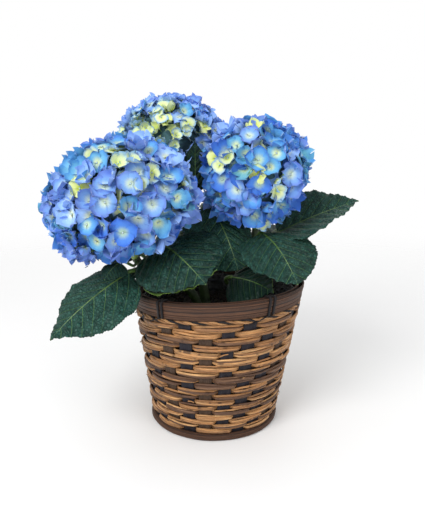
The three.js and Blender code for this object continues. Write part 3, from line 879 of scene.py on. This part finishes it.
def hoop(name, material, node, inner, outer, low, high, seed, square=True):
    """A hoop of split wood: a ring laid up from narrow strips, square in section or round."""
    steps, sides = HOOP_STEPS, HOOP_SIDES
    piece = start_piece(name, bpy.ops.mesh.primitive_torus_add, major_segments=steps, minor_segments=sides,
                        major_radius=1, minor_radius=0.1)
    angle = (np.arange(steps * sides) // sides) * 2 * math.pi / steps
    share = (np.arange(steps * sides) % sides) / sides
    turn = share * 2 * math.pi
    random = seeded(seed)
    out = np.sign(np.cos(turn)) * np.abs(np.cos(turn)) ** (0.35 if square else 0.85)
    up = np.sign(np.sin(turn)) * np.abs(np.sin(turn)) ** (0.6 if square else 0.9)
    z = mix(low, high, up * 0.5 + 0.5)
    strip = np.floor(share * HOOP_STRIPS)
    groove = np.abs(np.mod(share * HOOP_STRIPS, 1) - 0.5) * 2
    proud = np.sin(strip * 2.4 + strand_wave(random, angle, 5))
    grow = 0.00016 * proud - 0.0004 * groove ** 4 + 0.0002 * strand_wave(random, angle, 11)
    middle = (inner + outer) / 2
    half = (outer - inner) / 2 - 0.0003
    reach = middle + out * (half + grow)
    points = turned_at((wall_radius(z) if square else 0) + reach, angle, z)
    set_points(piece, lean(points) if square else points)
    lay_hoop_map(piece, steps, sides)
    piece.data.materials.append(material)
    face_out(piece)
    finish_piece(piece, "rim", node)


def lay_hoop_map(piece, steps, sides):
    """U runs round the hoop and V round its section, with no jump where they close."""
    while piece.data.uv_layers:
        piece.data.uv_layers.remove(piece.data.uv_layers[0])
    layer = piece.data.uv_layers.new(name="OFBake")
    corners = read(piece.data.loops, "vertex_index")

    def closed(places, whole):
        places = places.reshape(-1, 4).astype(float)
        wrap = (places.max(1) - places.min(1)) > whole / 2
        places[wrap] = np.where(places[wrap] == 0, whole, places[wrap])
        return places.ravel() / whole
    spots = np.stack([closed(corners // sides, steps), closed(corners % sides, sides)], 1)
    layer.uv.foreach_set("vector", spots.ravel())


def rim_ties(dark, golden):
    """Twisted strands, one dark and two golden, that close the gap under the rim hoops."""
    skin = Skin()
    angle = ring(STRAND_STEPS, closed=True)
    random = seeded(17)
    for strand in range(TIE_STRANDS):
        twist = 2 * math.pi * strand / TIE_STRANDS + TIE_TURNS * angle
        z = TIE_HEIGHT + 0.0011 * np.cos(twist) + 0.0007 * strand_wave(random, angle, 9)
        depth = 0.0024 + 0.0008 * np.sin(twist)
        turn = ring(TIE_SIDES)
        reach = wall_radius(z)[:, None] + depth[:, None] + TIE_RADIUS * np.cos(turn)
        grid = lean(turned_at(reach, angle[:, None], z[:, None] + TIE_RADIUS * np.sin(turn)))
        over = (strand / TIE_STRANDS, (strand + 0.95) / TIE_STRANDS)
        skin.sheet(grid, place_grid(len(angle), TIE_SIDES + 1, over=over), around=True, kind=int(strand > 0))
    finish_skin(skin, "rim_under_strands", (dark, golden), "rim", "basket_rim_outer")


def binding_path(outset):
    """The way a lashing takes in the wall's section: offset from the wall's middle, and height."""
    out = RIM_OUTSIDE + CLEAR + outset
    inside = -RIM_INSIDE - CLEAR - outset
    top = BASKET_HEIGHT + CLEAR + outset
    low = RIM_BOTTOM + 0.0005
    return ((out, low), (out, top - CHAMFER), (out - CHAMFER, top), (inside + CHAMFER, top),
            (inside, top - CHAMFER), (inside, low))


def rim_bindings(material):
    """Each lashing is two narrow dark strips side by side, with a tail under the rim."""
    for index in range(BINDINGS):
        skin = Skin()
        random = seeded(60 + index)
        middle = FIRST_BINDING + index * 2 * math.pi / BINDINGS
        for side in (-1, 1):
            centre = middle + side * 0.26 * BINDING_WIDTH / RIM_RADIUS
            half = 0.17 * BINDING_WIDTH
            inner = binding_path(0)
            outer = binding_path(BINDING_THICKNESS)
            rows = []
            for (near, low), (far, high) in zip(inner, outer):
                rows.append([(near, low, -1), (far, high, -0.7), (far, high, 0.0),
                             (far, high, 0.7), (near, low, 1), (near, low, 0.0)])
            section = np.array(rows)
            z = section[..., 1]
            around = centre + section[..., 2] * half / RIM_RADIUS + side * 0.01 * random()
            grid = lean(turned_at(wall_radius(z) + section[..., 0], around, z))
            skin.sheet(grid, place_grid(6, 7, (0, 1), (0.5 + side * 0.24, 0.72 + side * 0.24)),
                       around=True, caps=True)
        tail_start = turned_at(wall_radius(RIM_BOTTOM) + 0.005, np.array(middle), RIM_BOTTOM + 0.001)
        tail_end = turned_at(wall_radius(0.126) + 0.0042, np.array(middle - 0.2), 0.1255)
        start, end = lean(tail_start), lean(tail_end)
        path = Curve(start, mix(start, end, 0.3), mix(start, end, 0.7), end)
        limb(skin, path, np.full(9, TAIL_RADIUS), 6, (0, 0.1, 1), (0, 1), (0.0, 0.2))
        finish_skin(skin, f"rim_lashing_{index + 1}", (material,), "binding", f"rim_binding_{index + 1}")


def basket_floor(material):
    """The round floor of the basket: a board with turned rings below."""
    piece = start_piece("basket_floor", bpy.ops.mesh.primitive_cylinder_add, vertices=96,
                        radius=BASE_RADIUS, depth=BASE_THICKNESS, location=(0, 0, BASE_THICKNESS / 2))
    bpy.ops.object.transform_apply(location=True)
    bpy.ops.object.mode_set(mode="EDIT")
    bpy.ops.mesh.select_mode(type="FACE")
    bpy.ops.mesh.select_all(action="DESELECT")
    bpy.ops.object.mode_set(mode="OBJECT")
    for face in piece.data.polygons:
        face.select = face.normal.z < -0.9
    bpy.ops.object.mode_set(mode="EDIT")
    for _ in range(5):
        bpy.ops.mesh.inset(thickness=0.009, depth=-0.0003)
        bpy.ops.mesh.inset(thickness=0.0008, depth=0.0003)
    bpy.ops.mesh.select_all(action="SELECT")
    bpy.ops.uv.smart_project()
    bpy.ops.object.mode_set(mode="OBJECT")
    piece.data.uv_layers[0].name = "OFBake"
    piece.data.materials.append(material)
    finish_piece(piece, "stake", "basket_base")
    select_only(piece)
    bpy.ops.object.shade_smooth_by_angle(angle=0.6)


def turned_cup(name, profile, steps, wobble, material, slot, node):
    """A cup turned from a closed profile, its skin moved by `wobble`."""
    angle = ring(steps)
    radius, height = np.array(profile).T[..., None]
    grid = wobble(turned_at(radius, angle, height), angle)
    skin = Skin()
    skin.sheet(grid, place_grid(len(profile), steps + 1), around=True, caps=True)
    finish_skin(skin, name, (material,), slot, node)


def pot_liner(material):
    """Thin film inside the basket, creased and folded at its top edge."""
    floor = BASE_THICKNESS + CLEAR
    body = WEAVE_INSIDE + LINER_CLEAR
    neck = RIM_INSIDE + BINDING_THICKNESS + 2 * CLEAR
    levels = [(floor + LINER_BEND, body), (0.11, body)]
    levels += [(z, neck) for z in np.linspace(RIM_BOTTOM - 0.003, LINER_TOP, 9)]
    outside = [(wall_radius(z) - inset, z) for z, inset in levels]
    inside = [(wall_radius(z) - inset - LINER_WALL, z) for z, inset in levels][::-1]
    flat = wall_radius(floor) - body - LINER_BEND
    profile = [(0.004, floor), (flat, floor), *outside, *inside, (flat, floor + LINER_WALL),
               (0.004, floor + LINER_WALL)]
    random = seeded(31)

    def crease(grid, angle):
        high = ease(grid[..., 2], 0.118, LINER_TOP)
        wave = strand_wave(random, angle, 34)[None, :]
        fold = strand_wave(random, angle + 0.3, 61)[None, :]
        scale = 1 - high * np.abs(0.010 * wave + 0.006 * fold)
        moved = grid.copy()
        moved[..., 0] *= scale
        moved[..., 1] *= scale
        moved[..., 2] += high * 0.0006 * wave
        return lean(moved)
    turned_cup("pot_liner_film", profile, LINER_STEPS, crease, material, "liner", "basket_liner")


def potting_soil(material):
    """Lumpy soil with crumbs and bark chips on it."""
    floor = BASE_THICKNESS + LINER_WALL + 2 * CLEAR
    bend = LINER_BEND + CLEAR

    def edge(z):
        return wall_radius(z) - WEAVE_INSIDE - LINER_WALL - SOIL_CLEAR
    profile = [(0.003, floor), (edge(floor) - bend, floor), (edge(floor + bend), floor + bend)]
    profile += [(edge(SOIL_TOP - 0.003), SOIL_TOP - 0.003)]
    profile += [(share * edge(SOIL_TOP), SOIL_TOP - 0.001) for share in np.linspace(0.98, 0.03, 34)]
    random = seeded(11)
    waves = [(random() * 2 - 1, random() * 2 - 1, random() * FULL_TURN, 60 + 380 * random())
             for _ in range(SOIL_WAVES)]

    def lumps(grid, angle):
        moved = grid.copy()
        top = ease(grid[..., 2], SOIL_TOP - 0.0025, SOIL_TOP - 0.001)
        lump = np.zeros(grid.shape[:2])
        for x, y, phase, rate in waves:
            lump += np.sin((grid[..., 0] * x + grid[..., 1] * y) * rate * 2 + phase) / len(waves) ** 0.5
        moved[..., 2] += top * SOIL_LUMPS * 0.55 * lump
        moved[..., 0] += BASKET_LEAN * moved[..., 2] / BASKET_HEIGHT
        return moved
    turned_cup("potting_soil", profile, SOIL_STEPS, lumps, material, "soil", "soil")
    skin = Skin()
    for _ in range(CRUMBS):
        reach = edge(SOIL_TOP) * 0.96 * math.sqrt(random())
        angle = 6.283 * random()
        centre = turned_at(reach, np.array(angle), SOIL_TOP + 0.0002 * random())
        centre[0] += BASKET_LEAN * 0.8
        long = mix(0.0008, 0.0032, random() ** 2)
        direction = unit([random() - 0.5, random() - 0.5, 0.5 * (random() - 0.5)])
        spots = np.linspace(-1, 1, 4)
        centres = centre + spots[:, None] * direction * long
        radii = long * mix(0.3, 0.8, random()) * np.sqrt(1.08 - spots ** 2)
        band = random() * 0.9
        tube(skin, centres, np.broadcast_to(direction, centres.shape), radii, 5, (0.1, 0.2, 1), (0, 0.1),
             (band, band + 0.05))
    finish_skin(skin, "soil_crumbs", (material,), "soil", "soil")


# ------------ stems


def stem_curve(stem):
    start = np.array([*stem["foot"], (SOIL_TOP + CLEAR) / MM]) * MM
    end = np.array(stem["tip"]) * MM
    reach = np.linalg.norm(end - start) * 0.38
    return Curve(start, start + [0, 0, reach], end - unit(stem["toward"]) * reach, end)


def stem_radius(stem, share):
    return (mix(stem["thick"], stem["thin"], share) + 1.6 * np.exp(-share * 30)) * MM


def stem_limbs(material):
    for name, stem in STEMS.items():
        random = seeded(70 + len(name))
        share = np.linspace(0, 1, STEM_STEPS)
        ribs = STEM_RIBS * np.sin(6 * ring(STEM_SIDES) + 4 * share[:, None])
        radii = stem_radius(stem, share)[:, None] + ribs
        for node in [leaf[1] for leaf in LEAVES.values() if leaf[0] == name]:
            radii = radii + NODE_SWELL * np.exp(-((share - node) / 0.014) ** 2)[:, None]
        radii = radii + 0.0001 * strand_wave(random, share * 40, 6)[:, None]
        skin = Skin()
        limb(skin, stem_curve(stem), radii, STEM_SIDES)
        finish_skin(skin, f"stem_limb_{name}", (material,), "stem", f"stem_{name}")


# ------------ leaves


def blade_outline(u):
    """Share of the full half width: broad below the middle, drawn to a point."""
    return np.maximum(0, np.sin(math.pi * np.clip(u, 0, 1) ** 0.72)) ** (0.6 + 0.5 * u)


class Leaf:
    """The lines that a leaf grows on, as in the solid model."""

    def __init__(self, stem, at, base, tip, width, face, arch, fold):
        stem_spec = STEMS[stem]
        joint, along = (part[0] for part in stem_curve(stem_spec).walk(np.array([at])))
        self.base = np.array(base) * MM
        self.tip = np.array(tip) * MM
        self.length = np.linalg.norm(self.tip - self.base)
        self.axis = unit(self.tip - self.base)
        self.side = unit(np.cross(self.axis, unit(face)))
        self.normal = unit(np.cross(self.side, self.axis))
        self.half = width * MM / 2
        self.arch = arch
        self.fold = fold
        out = self.base - joint
        out = unit(out - np.dot(out, along) * along)
        start = joint + out * (stem_radius(stem_spec, at) + CLEAR)
        reach = np.linalg.norm(self.base - start) * 0.4
        rise = unit(self.axis + 4 * arch * self.normal)
        self.petiole = Curve(start, start + out * reach, self.base - rise * reach, self.base)

    def midrib(self, u):
        u = np.asarray(u, float)[..., None]
        bow = 4 * self.arch * self.length * u * (1 - u)
        return self.base + self.axis * self.length * u + self.normal * bow


def leaf_blade(name, spec, upper, under, petiole_skin):
    leaf = Leaf(*spec)
    random = seeded(sum(map(ord, name)))
    piece = start_piece(f"blade_{name}", bpy.ops.mesh.primitive_grid_add, x_subdivisions=LEAF_ROWS,
                        y_subdivisions=LEAF_COLUMNS, size=1)
    flat = points_of(piece)
    u = np.clip(flat[:, 0] + 0.5, 0, 1)
    v = np.clip(flat[:, 1] * 2, -1, 1)
    far = np.abs(v)
    teeth = leaf.length / TOOTH_PITCH
    saw = np.mod(u * teeth + 0.35 * np.sin(9 * u), 1)
    tooth = (saw ** 1.4 - 0.4) * ease(far, 0.86, 1.0) * ease(u, 0.05, 0.14)
    full = blade_outline(u) ** mix(*LEAF_BLUNT.get(name, (1, 1)), u)
    near_side, far_side = LEAF_SIDES.get(name, (1, 1))
    least = np.where(u < 0.5, PETIOLE_RADIUS * 0.6, 0.0003)
    width = np.maximum(leaf.half * full * np.where(v > 0, near_side, far_side), least)
    width = width + TOOTH_DEPTH * tooth * min(1, leaf.half / 0.03)
    row = (u - VEIN_SLANT * (far * full) ** VEIN_BEND) * VEIN_PAIRS
    beat = np.abs(np.mod(row, 1) - 0.5)
    quilt = np.cos(2 * math.pi * beat) * ease(far, 0.02, 0.25) * (1 - 0.5 * far) * ease(u, 0, 0.1)
    scale = min(1, leaf.half / 0.035)
    relief = QUILT_DEPTH * scale * quilt - RIB_GROOVE * scale * np.exp(-(far / 0.035) ** 2)
    wave = EDGE_WAVE * scale * far ** 2 * np.sin(11 * u + 6 * random() + 2.2 * np.sign(v))
    wave += EDGE_RIPPLE * scale * far ** 3 * np.sin(27 * u + 6 * random() - np.sign(v))
    drop = -leaf.fold * 2 * width * far
    points = leaf.midrib(u) + leaf.side * (width * v)[:, None]
    points += leaf.normal * (drop + relief + wave * ease(u, 0, 0.15) * ease(1 - u, 0, 0.1))[:, None]
    set_points(piece, points)
    blade_map = piece.data.uv_layers[0]
    blade_map.name = "Blade"
    corners = read(piece.data.loops, "vertex_index")
    blade_map.uv.foreach_set("vector", np.stack([u, v * full / 2 + 0.5], 1)[corners].ravel())
    # Painted light: a yellow lit margin along one side of some leaves, stored as the sun attribute.
    sun = LEAF_PAINTED_LIT_MARGIN.get(name, 0)
    lit = np.abs(sun) * ease(v * np.sign(sun), 0.88 + 0.05 * np.sin(17 * u), 0.99)
    piece.data.attributes.new("sun", "FLOAT", "POINT").data.foreach_set("value", lit)
    # A leaf's tone: partly painted light and shade where it is listed, at random otherwise.
    shade = np.full(len(u), LEAF_SHADE.get(name, mix(0.1, 0.5, random())))
    piece.data.attributes.new("shade", "FLOAT", "POINT").data.foreach_set("value", shade)
    piece.data.materials.append(upper)
    piece.data.materials.append(under)
    if np.dot(np.array(piece.data.polygons[len(piece.data.polygons) // 2].normal), leaf.normal) < 0:
        piece.data.flip_normals()
    thick = piece.modifiers.new("Thickness", "SOLIDIFY")
    thick.thickness = LEAF_THICKNESS
    thick.offset = -1
    thick.material_offset = 1
    select_only(piece)
    bpy.ops.object.modifier_apply(modifier=thick.name)
    lay_blade_map(piece)
    stalk = leaf_stalk(name, leaf, petiole_skin)
    select_only(piece)
    stalk.select_set(True)
    bpy.ops.object.join()
    piece.data.uv_layers.active = piece.data.uv_layers["OFBake"]
    piece.data.uv_layers["OFBake"].active_render = True
    finish_piece(piece, "leaf", f"leaf_{name}")


def lay_blade_map(piece):
    """The bake map keeps the upper side, the underside and the stalk apart."""
    blade = piece.data.uv_layers["Blade"]
    spots = read(blade.uv, "vector", float, 2)
    kinds = read(piece.data.polygons, "material_index")
    under = np.repeat(kinds, read(piece.data.polygons, "loop_total")) == 1
    laid = spots.copy()
    laid[:, 1] = spots[:, 1] * 0.46 + np.where(under, 0.48, 0.0)
    piece.data.uv_layers.new(name="OFBake").uv.foreach_set("vector", laid.ravel())


def leaf_stalk(name, leaf, material):
    """The petiole, which runs on a little way under the blade as its rib."""
    skin = Skin()
    centres, tangents = leaf.petiole.walk(np.linspace(0, 1, 20))
    below = leaf.normal * 0.0006
    rib_share = np.linspace(0.02, 0.8, 30)
    rib = leaf.midrib(rib_share) - below - leaf.normal * 0.0005
    rib_way = unit(np.gradient(rib, axis=0))
    path = np.concatenate([centres, rib])
    way = np.concatenate([tangents, rib_way])
    radii = np.concatenate([np.full(20, PETIOLE_RADIUS * min(1, 0.5 + leaf.half / 0.05)),
                            np.linspace(PETIOLE_RADIUS * 0.62, 0.0003, 30)])
    tube(skin, path, way, radii, 12, leaf.normal, (0, 1), (0.955, 0.995))
    piece = skin.piece(f"stalk_{name}", material)
    face_out(piece)
    return piece


# ------------ flower heads


def sepal_shape(cup, curl, wave, broad, twist):
    """One sepal of unit length along +X: 6 by 5 points, cupped, bluntly pointed, with a wavy margin."""
    along = np.array([0.04, 0.24, 0.46, 0.68, 0.86, 1.0])
    sideways = np.linspace(-1, 1, 5)
    a, b = np.meshgrid(along, sideways, indexing="ij")
    width = broad * np.sin(math.pi * np.clip(a, 0, 0.99) ** 1.08) ** 0.92 + 0.05 * (1 - a)
    x = a - 0.05 * b ** 2 * a
    z = cup * a ** 1.45 - curl * a ** 5 + 0.34 * b ** 2 * a * (0.25 + cup) + twist * a * b
    z += wave * np.sin(4.4 * a + 2.5 * b) * b ** 2
    return np.stack([x * (1 - 0.18 * cup), width * b, z], -1)


def floret_patterns():
    """A few florets of four sepals, from open to deeply cupped, copied all over the heads."""
    patterns = []
    random = seeded(41)
    for index in range(FLORET_PATTERNS):
        cup = mix(0.1, 0.8, index / (FLORET_PATTERNS - 1))
        sepals = []
        for quarter in range(4):
            size = mix(0.8, 1.12, random())
            shape = sepal_shape(cup + 0.4 * (random() - 0.5), mix(0.05, 0.4, random()),
                                mix(0.05, 0.16, random()), mix(0.54, 0.7, random()),
                                mix(-0.16, 0.2, random())) * size
            turn = quarter * math.pi / 2 + 0.32 * (random() - 0.5)
            lift = 0.04 if quarter % 2 else 0.0
            x = shape[..., 0] * math.cos(turn) - shape[..., 1] * math.sin(turn)
            y = shape[..., 0] * math.sin(turn) + shape[..., 1] * math.cos(turn)
            sepals.append(np.stack([x, y, shape[..., 2] + lift], -1))
        patterns.append(sepals)
    return patterns


def head_turn(head):
    """Takes +Z to the head's axis by the shortest turn."""
    axis = unit(head["axis"])
    cross = np.cross((0, 0, 1), axis)
    cosine = axis[2]
    skew = np.array([[0, -cross[2], cross[1]], [cross[2], 0, -cross[0]], [-cross[1], cross[0], 0]])
    return np.eye(3) + skew + skew @ skew / (1 + cosine)


def blade_points():
    """Points spread over every blade, and how far the florets keep from them."""
    spots = []
    for name, spec in LEAVES.items():
        ahead = AHEAD.get(name, 0)
        clear = FLORET_FREE + 0.6 * ahead
        leaf = Leaf(*spec)
        for u in (0, 0.25, 0.5, 0.75, 1):
            for share in (-0.7, 0, 0.7):
                edge = leaf.half * blade_outline(np.array(u))
                spot = leaf.midrib(u) + leaf.side * share * edge + leaf.normal * ahead
                spots.append([*spot, clear])
    return np.array(spots)


def tone_of(name, spot, layer, random):
    """Deals a floret its tone: paler on the crown and deeper below as painted light and shade, creamy where
    young ones gather.
    """
    low = ease(-spot[2], -0.7, 0.6)
    weights = np.array(TONE_WEIGHTS[name]) * mix(np.array(TOWARDS_CROWN), np.array(TOWARDS_FOOT), low)
    if layer:
        weights = weights * INNER_TONES
    for direction, wide, more in CREAM_SPOTS[name]:
        near = near_to(spot, direction, wide)
        weights = weights * (1, 1, 1, 1, 1 + near, 1 + more * near, 1 + more * near, 1)
    total = np.cumsum(weights) / weights.sum()
    return int(np.searchsorted(total, random()))


def near_to(way, direction, wide):
    """1 in that direction, fading to nought round it."""
    return np.exp(-(np.linalg.norm(way - unit(direction), axis=-1) / wide) ** 2)


def hollow_at(name, way):
    """How much deeper than a plain ball the head is in each direction."""
    hollow = np.zeros(way.shape[:-1])
    for direction, wide, deep in HOLLOWS.get(name, ()):
        hollow += deep * near_to(way, direction, wide)
    return hollow


def flower_head(name, head, seed, finishes, free_of, patterns):
    random = seeded(seed)
    turn = head_turn(head)
    radii = np.array(head["radii"]) * MM
    centre = np.array(head["centre"]) * MM
    golden = math.pi * (3 - math.sqrt(5))
    lowest = math.cos(BARE_ANGLE)
    skin = Skin()
    stalks = Skin()
    heart = centre - turn @ np.array([0, 0, 1.0]) * radii[2] * 0.35
    layers = [(head["florets"], 1.0), (head["florets"] // 2, INNER_LAYER)]
    for layer, (count, share) in enumerate(layers):
        for i in range(count):
            height = mix(1, lowest, (i + 0.5) / count)
            level = math.sqrt(1 - height * height)
            around = i * golden + 0.3 * random() + layer
            spot = np.array([level * math.cos(around), level * math.sin(around), height])
            choice = int(random() * len(patterns))
            tone = tone_of(name, spot, layer, random)
            size = mix(*FLORET_SIZES, random()) * FLORET_SCALE[name]
            size *= YOUNG_SIZE if tone in YOUNG_TONES else 1
            outward = unit(spot / radii)
            wobble = np.array([random() - 0.5, random() - 0.5, random() - 0.5])
            facing = unit(outward + wobble * FLORET_WOBBLE)
            tilt = np.linalg.norm(np.cross(outward, facing))
            sunk = size * (mix(0.3, 0.8, choice / FLORET_PATTERNS) + 0.6 * tilt) + 0.003 * random()
            sunk += hollow_at(name, turn @ spot)
            place = turn @ (spot * radii * share - outward * sunk) + centre
            outward = turn @ facing
            roll = random() * math.pi
            pattern = patterns[choice]
            clear = free_of[:, 3] * (INNER_FREE if layer else 1)
            if np.min(np.linalg.norm(free_of[:, :3] - place, axis=1) - clear) < 0:
                continue
            add_floret(skin, pattern, place, outward, roll, size, tone)
            add_pedicel(stalks, place, outward, heart)
    florets = skin.piece(f"florets_{name}", finishes["sepal"])
    finish_piece(florets, "sepal", f"flower_head_{name}")
    add_branches(stalks, STEMS[name], head, turn, radii, centre, heart)
    finish_skin(stalks, f"flower_stalks_{name}", (finishes["pedicel"],), "stem", f"flower_head_{name}")
    head_core(name, turn, radii, centre, finishes["core"])


def add_floret(skin, pattern, place, outward, roll, size, tone):
    side, up = across(outward, ASKEW)
    turned_side = side * math.cos(roll) + up * math.sin(roll)
    turned_up = np.cross(outward, turned_side)
    frame_of = np.stack([turned_side, turned_up, outward]) * size
    low, high = (tone + 0.08) / TONE_BANDS, (tone + 0.92) / TONE_BANDS
    margin = np.abs(np.linspace(-1, 1, 5)) ** 3
    for sepal in pattern:
        places = place_grid(6, 5, (0, 1), (low, high))
        away = np.linalg.norm(sepal[..., :2], axis=-1)
        away = np.maximum(away, 0.9 * margin * ease(away, 0.3, 0.62))
        places[..., 0] = np.clip(np.maximum(away, 0.97 * (places[..., 0] == 1)), 0.02, 0.98)
        skin.sheet(sepal @ frame_of + place, places)
    bead_low, bead_high = (BEAD_TONE + 0.1) / TONE_BANDS, (BEAD_TONE + 0.9) / TONE_BANDS
    spots = np.array([-0.9, 0.0, 0.9])
    centres = place + outward * (0.0009 + 0.0009 * spots[:, None])
    tube(skin, centres, np.broadcast_to(outward, centres.shape), BEAD_RADIUS * np.sqrt(1.05 - spots ** 2),
         6, ASKEW, over=(bead_low, bead_high))


def add_pedicel(stalks, place, outward, heart):
    """The thin stalk that runs from a floret down towards the heart of the head."""
    inward = unit(heart - place)
    end = place + inward * PEDICEL_LENGTH
    path = Curve(place, place - outward * 0.007, end - inward * 0.006, end)
    limb(stalks, path, np.full(5, PEDICEL_RADIUS), 4, ASKEW)


def add_branches(stalks, stem, head, turn, radii, centre, heart):
    """The head's own stalk and the branches that carry the florets."""
    start = np.array(stem["tip"]) * MM + unit(stem["toward"]) * CLEAR
    reach = np.linalg.norm(centre - start) * 0.4
    path = Curve(start, start + unit(stem["toward"]) * reach, centre - unit(head["axis"]) * reach, centre)
    limb(stalks, path, stem["thin"] * MM * (1 + 0.3 * np.linspace(0, 1, 24)), 14)
    top, bottom = 0.95, -0.55
    for i in range(BRANCHES):
        height = mix(top, bottom, (i + 0.5) / BRANCHES)
        level = math.sqrt(1 - height * height)
        spot = np.array([level * math.cos(i * 2.4), level * math.sin(i * 2.4), height])
        end = turn @ (spot * radii * 0.84) + centre
        begin = mix(heart, centre, 0.5 * (height - bottom) / (top - bottom))
        middle = mix(begin, end, 0.5) - turn @ np.array([0, 0, 0.006])
        branch = Curve(begin, mix(begin, middle, 0.7), mix(end, middle, 0.6), end)
        limb(stalks, branch, np.linspace(0.0019, 0.0009, 9), 7, ASKEW)


def head_core(name, turn, radii, centre, material):
    """The dense shaded inside of a head, bumpy like packed stalks."""
    piece = start_piece(f"head_core_{name}", bpy.ops.mesh.primitive_ico_sphere_add, subdivisions=5, radius=1)
    ball = unit(points_of(piece))
    bumps = 0.03 * np.sin(17 * ball[:, 0] + 3) * np.sin(15 * ball[:, 1]) * np.sin(19 * ball[:, 2] + 1)
    points = (ball * radii * (CORE_SHARE * 0.98 + bumps)[:, None]) @ turn.T
    way = ball @ turn.T
    set_points(piece, points - way * np.maximum(0, hollow_at(name, way))[:, None] + centre)
    piece.data.materials.append(material)
    finish_piece(piece, "stem", f"flower_head_{name}")


# ------------ camera, floor and lights


def set_up(name, data, place, target):
    """Stands a camera or a light at its place, aimed at its target."""
    thing = add_object(name, data)
    thing.location = place
    direction = np.array(target) - np.array(thing.location)
    thing.rotation_euler = Vector(direction).to_track_quat("-Z", "Y").to_euler()
    return thing


def camera():
    data = bpy.data.cameras.new("Camera")
    data.sensor_width = SENSOR
    data.lens = LENS
    bpy.context.scene.camera = set_up("Camera", data, CAMERA_PLACE, CAMERA_TARGET)


def softbox(name, place, target, size, power):
    data = bpy.data.lights.new(name, "AREA")
    data.shape = "DISK"
    data.size = size
    data.energy = power
    set_up(name, data, place, target)


def studio():
    """A white studio: even light all round, a soft key from the front left, a floor without a horizon."""
    floor = start_piece("floor", bpy.ops.mesh.primitive_plane_add, size=12)
    floor.data.materials.append(floor_finish())
    for name, light in LIGHTS.items():
        softbox(name, *light)
    world = bpy.data.worlds.new("Studio")
    world.use_nodes = True
    graph = Graph(world.node_tree)
    seen = graph.node("ShaderNodeLightPath").outputs["Is Camera Ray"]
    strength = graph.span(seen, 0, 1, WORLD_LIGHT, 1.0, "LINEAR")
    back = world.node_tree.nodes["Background"]
    back.inputs[0].default_value = (1, 1, 1, 1)
    graph.feed(back.inputs[1], strength)
    bpy.context.scene.world = world
    bpy.context.scene.view_settings.view_transform = "Standard"


# ------------ making it all


def build_plant():
    grain = grain_effect()
    venation = venation_effect()
    rim_wood = split_wood_finish("Rim wood", grain, (12.0, 10.0, 1.0),
                                 ((30, 20, 18), (84, 54, 38), (160, 112, 80)), 0.5, HOOP_STRIPS)
    stake_wood, brown_stake, lashing_wood = (
        split_wood_finish(name, grain, stretch, colours, 0.55) for name, stretch, colours in (
            ("Stake wood", (6.0, 60.0, 1.0), ((18, 19, 28), (32, 32, 44), (60, 52, 54))),
            ("Brown stake wood", (6.0, 60.0, 1.0), ((44, 32, 27), (72, 54, 42), (108, 84, 64))),
            ("Lashing bark", (10.0, 14.0, 1.0), ((13, 11, 14), (22, 18, 21), (38, 31, 33)))))
    golden = ((92, 50, 26), (132, 80, 42), (180, 122, 68), (232, 182, 124))
    brown = ((56, 36, 28), (78, 52, 38), (100, 70, 50), (132, 98, 70))
    golden_vine = reed_finish("Golden vine", grain, golden)
    weave(golden_vine, reed_finish("Brown vine", grain, brown))
    stakes(stake_wood, brown_stake)
    hoop("rim_hoop_outer", rim_wood, "basket_rim_outer", RIM_SEAT, RIM_OUTSIDE,
         RIM_BOTTOM, BASKET_HEIGHT, 91)
    hoop("rim_hoop_inner", rim_wood, "basket_rim_inner", -RIM_INSIDE, -RIM_SEAT,
         RIM_BOTTOM, BASKET_HEIGHT, 92)
    hoop("foot_rod", rim_wood, "basket_foot_hoop", FOOT_INNER, FOOT_OUTER, 0.0, FOOT_HEIGHT,
         93, square=False)
    rim_ties(lashing_wood, golden_vine)
    rim_bindings(lashing_wood)
    basket_floor(stake_wood)
    pot_liner(mottled_finish("Pot liner", 140.0, (14, 16, 19), (38, 42, 50), 0.12, (1.0, 0.003),
                             detail=5.0, grain=0.7, edges=(0.4, 0.7), Specular_IOR_Level=0.9))
    potting_soil(mottled_finish("Potting soil", 260.0, (16, 11, 9), (48, 34, 25), 0.95, (0.9, 0.002),
                                (520.0, 0.64, 0.5, (126, 92, 62)), 5.0, 0.7, (0.35, 0.7)))
    skins = {name: mottled_finish(name, 120.0, low, high, rough, (0.3, 0.0005), (900.0, 0.62, 0.6, speck))
             for name, low, high, speck, rough in (
                 ("Stem skin", (30, 48, 20), (56, 78, 34), (44, 34, 22), 0.5),
                 ("Leaf stalk skin", (52, 82, 34), (88, 120, 52), (50, 64, 30), 0.45),
                 ("Flower stalk skin", (96, 134, 64), (150, 180, 96), (80, 104, 60), 0.5))}
    stem_limbs(skins["Stem skin"])
    upper = leaf_finish("Leaf upper side", venation, tint(4, 36, 28), tint(48, 92, 80),
                        tint(124, 168, 104), 0.46)
    under = leaf_finish("Leaf underside", venation, tint(54, 88, 56), tint(86, 118, 80),
                        tint(128, 156, 104), 0.6)
    for name, spec in LEAVES.items():
        leaf_blade(name, spec, upper, under, skins["Leaf stalk skin"])
    # The heart's dark colour is painted shade, seen in the gaps between the florets.
    core = mottled_finish("Shaded heart", 90.0, (30, 56, 66), (72, 108, 116), 0.9, (0.6, 0.002))
    finishes = {"sepal": sepal_finish(), "pedicel": skins["Flower stalk skin"], "core": core}
    free_of = blade_points()
    patterns = floret_patterns()
    for index, (name, head) in enumerate(HEADS.items()):
        flower_head(name, head, HEAD_SEED + index, finishes, free_of, patterns)


camera()
studio()
build_plant()
